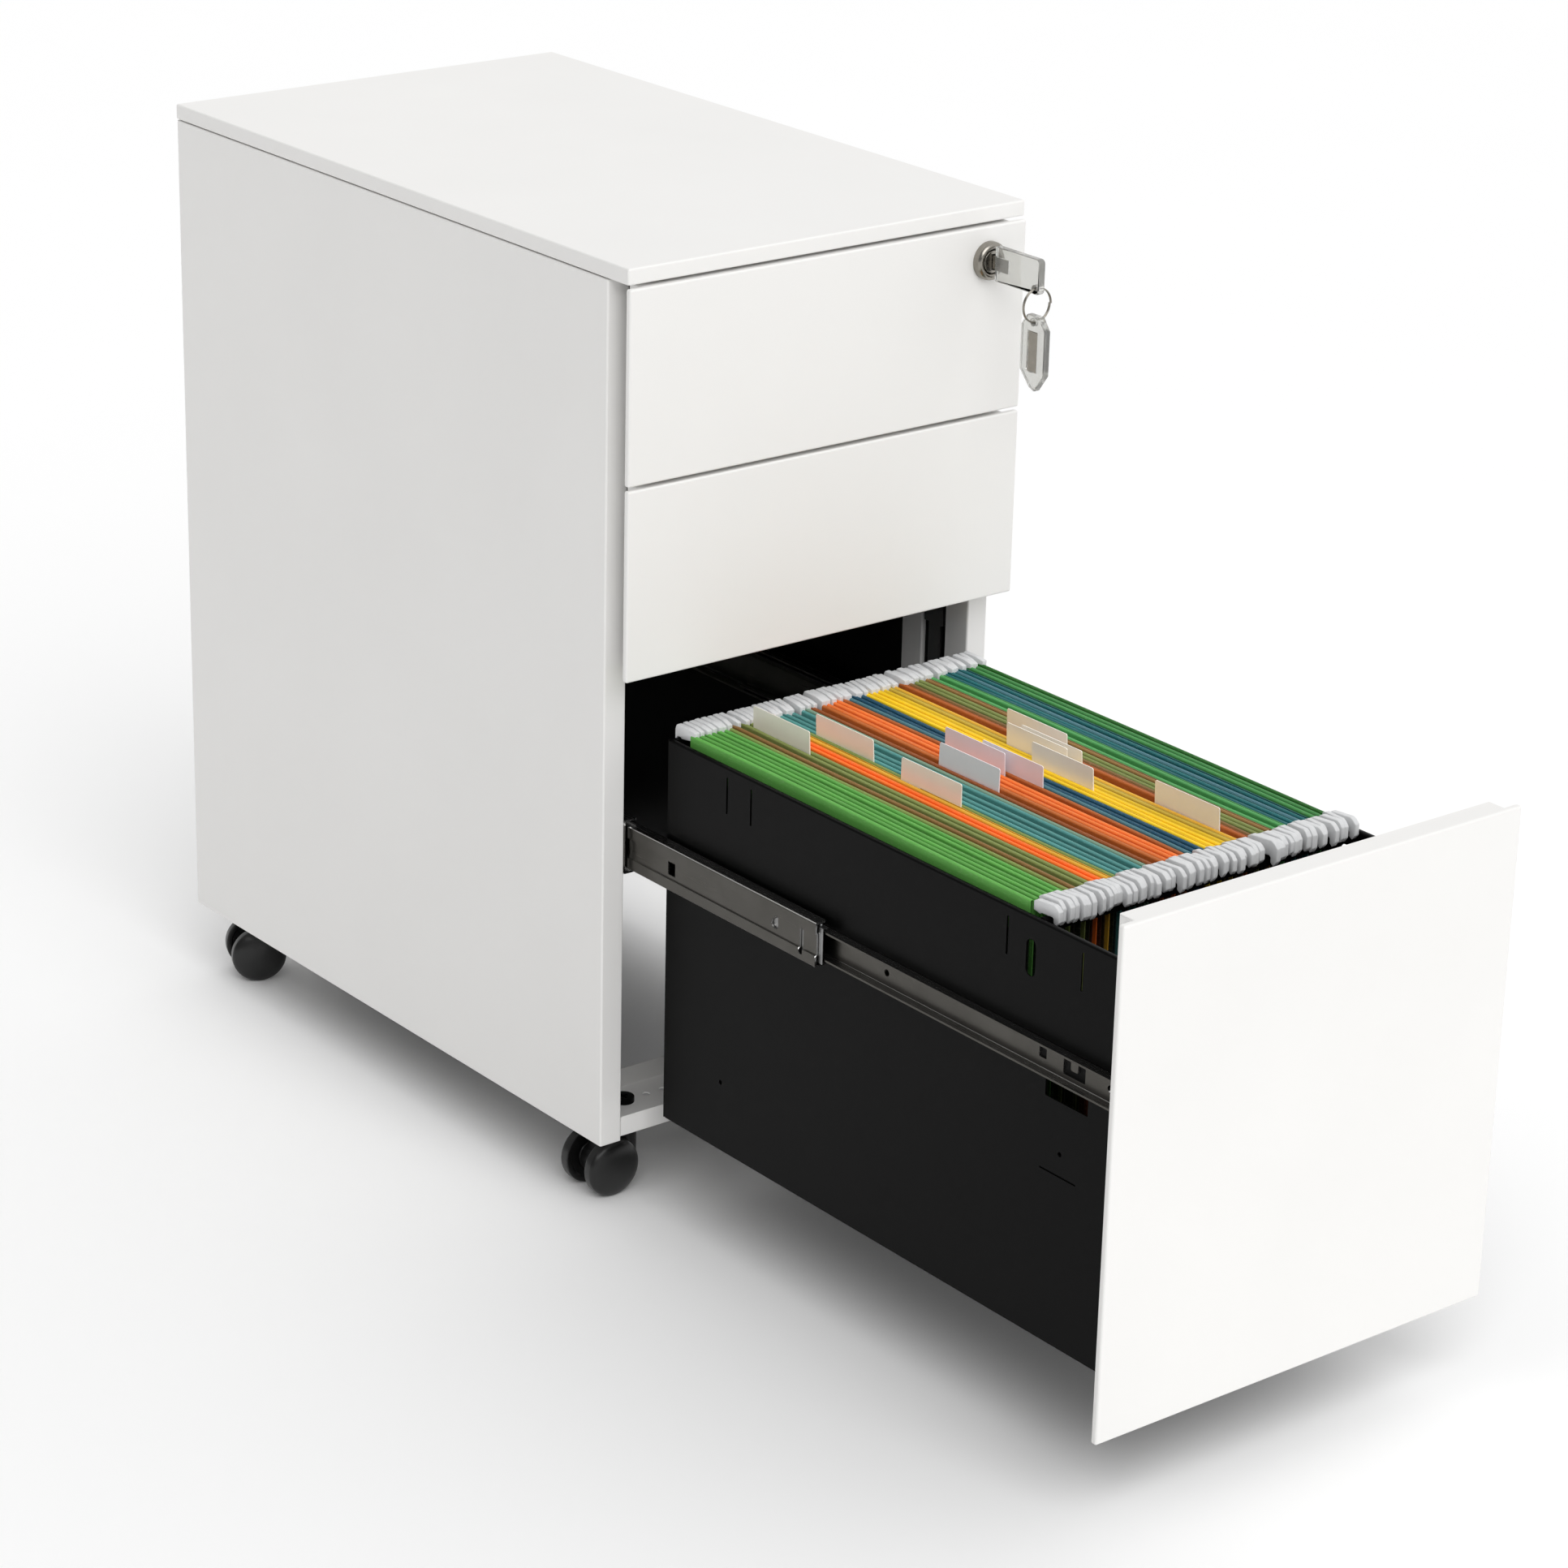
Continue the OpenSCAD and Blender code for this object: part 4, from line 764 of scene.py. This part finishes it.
tree = bpy.data.node_groups.new("split_ring", "GeometryNodeTree")
sockets = {}
for name, kind in (("Radius", "Float"), ("Wire", "Float"), ("Turns", "Float"),
                   ("Centre", "Vector"), ("Finish", "Material")):
    sockets[name] = tree.interface.new_socket(name, in_out="INPUT", socket_type="NodeSocket" + kind)
tree.interface.new_socket("Geometry", in_out="OUTPUT", socket_type="NodeSocketGeometry")
given = add(tree, "NodeGroupInput")
rise = add(tree, "ShaderNodeMath", {"operation": "MULTIPLY"},
    {0: given.outputs["Wire"], 1: given.outputs["Turns"]})
coil = add(tree, "GeometryNodeCurveSpiral", {},
    {"Resolution": 48, "Rotations": given.outputs["Turns"], "Start Radius": given.outputs["Radius"],
     "End Radius": given.outputs["Radius"], "Height": rise.outputs[0]})
half_wire = add(tree, "ShaderNodeMath", {"operation": "MULTIPLY"}, {0: given.outputs["Wire"], 1: 0.5})
section = add(tree, "GeometryNodeCurvePrimitiveCircle", {},
    {"Resolution": 12, "Radius": half_wire.outputs[0]})
wire = add(tree, "GeometryNodeCurveToMesh", {},
    {"Curve": coil.outputs[0], "Profile Curve": section.outputs[0], "Fill Caps": True})
stood = add(tree, "GeometryNodeTransform", {},
    {"Geometry": wire.outputs[0], "Translation": given.outputs["Centre"],
     "Rotation": (math.pi / 2, 0.0, 0.0)})
real = add(tree, "GeometryNodeRealizeInstances", {}, {0: stood.outputs[0]})
painted = add(tree, "GeometryNodeSetMaterial", {},
    {"Geometry": real.outputs[0], "Material": given.outputs["Finish"]})
add(tree, "NodeGroupOutput", {}, {0: painted.outputs[0]})
ring_lo, ring_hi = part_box("key_ring")
# Two turns of it together are a little thicker than the CAD ring
WIRE = (ring_hi.y - ring_lo.y) * 0.58
split_ring = bpy.data.objects.new("split_ring", bpy.data.meshes.new("split_ring"))
bpy.context.scene.collection.objects.link(split_ring)
maker = split_ring.modifiers.new("split_ring", "NODES")
maker.node_group = tree
centre = (ring_lo + ring_hi) / 2 + Vector((0, WIRE, 0))
for name, value in (("Radius", (ring_hi.x - ring_lo.x - WIRE) / 2), ("Wire", WIRE), ("Turns", 2.0),
                    ("Centre", list(centre)), ("Finish", nickel)):
    maker[sockets[name].identifier] = value
realise(split_ring)
for face in split_ring.data.polygons:
    face.use_smooth = True
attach(split_ring, "key_ring")
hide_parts("key_ring")

# ----------------------------------------------------------------- Studio
# A plain pale floor, soft light from all round, and a large soft box from the front left
# that makes the drawer fronts the brightest faces.
floor_mesh = bpy.data.meshes.new("studio_floor")
FLOOR_HALF = 60.0
floor_mesh.from_pydata([(-FLOOR_HALF, -FLOOR_HALF, 0), (FLOOR_HALF, -FLOOR_HALF, 0),
                        (FLOOR_HALF, FLOOR_HALF, 0), (-FLOOR_HALF, FLOOR_HALF, 0)],
                       [], [(0, 1, 2, 3)])
studio_floor = bpy.data.objects.new("studio_floor", floor_mesh)
bpy.context.scene.collection.objects.link(studio_floor)
paper, tree, place = blank_finish("studio_paper")
grain = add(tree, "ShaderNodeTexNoise", {}, {"Vector": place, "Scale": 3.0, "Detail": 2.0})
tone = add(tree, "ShaderNodeMix", {"data_type": "RGBA"},
    {0: grain.outputs["Fac"], 6: linear("#FBFBFB"), 7: linear("#FCFCFC")})
shader = add(tree, "ShaderNodeBsdfPrincipled", {},
    {"Base Color": tone.outputs[2], "Roughness": 0.9, "Specular IOR Level": 0.1})
add(tree, "ShaderNodeOutputMaterial", {}, {"Surface": shader.outputs[0]})
floor_mesh.materials.append(paper)

LEFT_AIR = 0.22
RIGHT_AIR = 0.92
world = bpy.data.worlds.new("studio_air")
bpy.context.scene.world = world
world.use_nodes = True
tree = world.node_tree
tree.nodes.clear()
# Flags stand on the left of the set, so the air is dimmer there
around = add(tree, "ShaderNodeTexCoord").outputs["Generated"]
across = add(tree, "ShaderNodeSeparateXYZ", {}, {0: around})
brightness = add(tree, "ShaderNodeMapRange", {"interpolation_type": "SMOOTHSTEP"},
    {"Value": across.outputs["X"], "From Min": -1.0, "From Max": 0.6,
     "To Min": LEFT_AIR, "To Max": RIGHT_AIR})
air = add(tree, "ShaderNodeBackground", {},
    {"Color": linear("#FFFFFF"), "Strength": brightness.outputs[0]})
add(tree, "ShaderNodeOutputWorld", {}, {"Surface": air.outputs[0]})

# One very wide soft box, far off to the front left and above, as even as an overcast sky
lamp = bpy.data.lights.new("soft_box", "SUN")
lamp.energy = 1.6
lamp.angle = math.radians(50)
light = bpy.data.objects.new("soft_box", lamp)
light.rotation_euler = Vector((-0.28, -0.6, 0.75)).to_track_quat("Z", "Y").to_euler()
bpy.context.scene.collection.objects.link(light)

# A long lens, well back to the front left and about twice as high as the cabinet
lens = bpy.data.cameras.new("catalogue_camera")
lens.lens = 103.8
lens.sensor_width = 36.0
lens.clip_start = 0.05
camera = bpy.data.objects.new("catalogue_camera", lens)
camera.location = (-1.6424, -2.0504, 1.2829)
camera.rotation_euler = [math.radians(a) for a in (68.655, -1.308, -38.115)]
bpy.context.scene.collection.objects.link(camera)
bpy.context.scene.camera = camera
bpy.context.scene.view_settings.view_transform = "Standard"
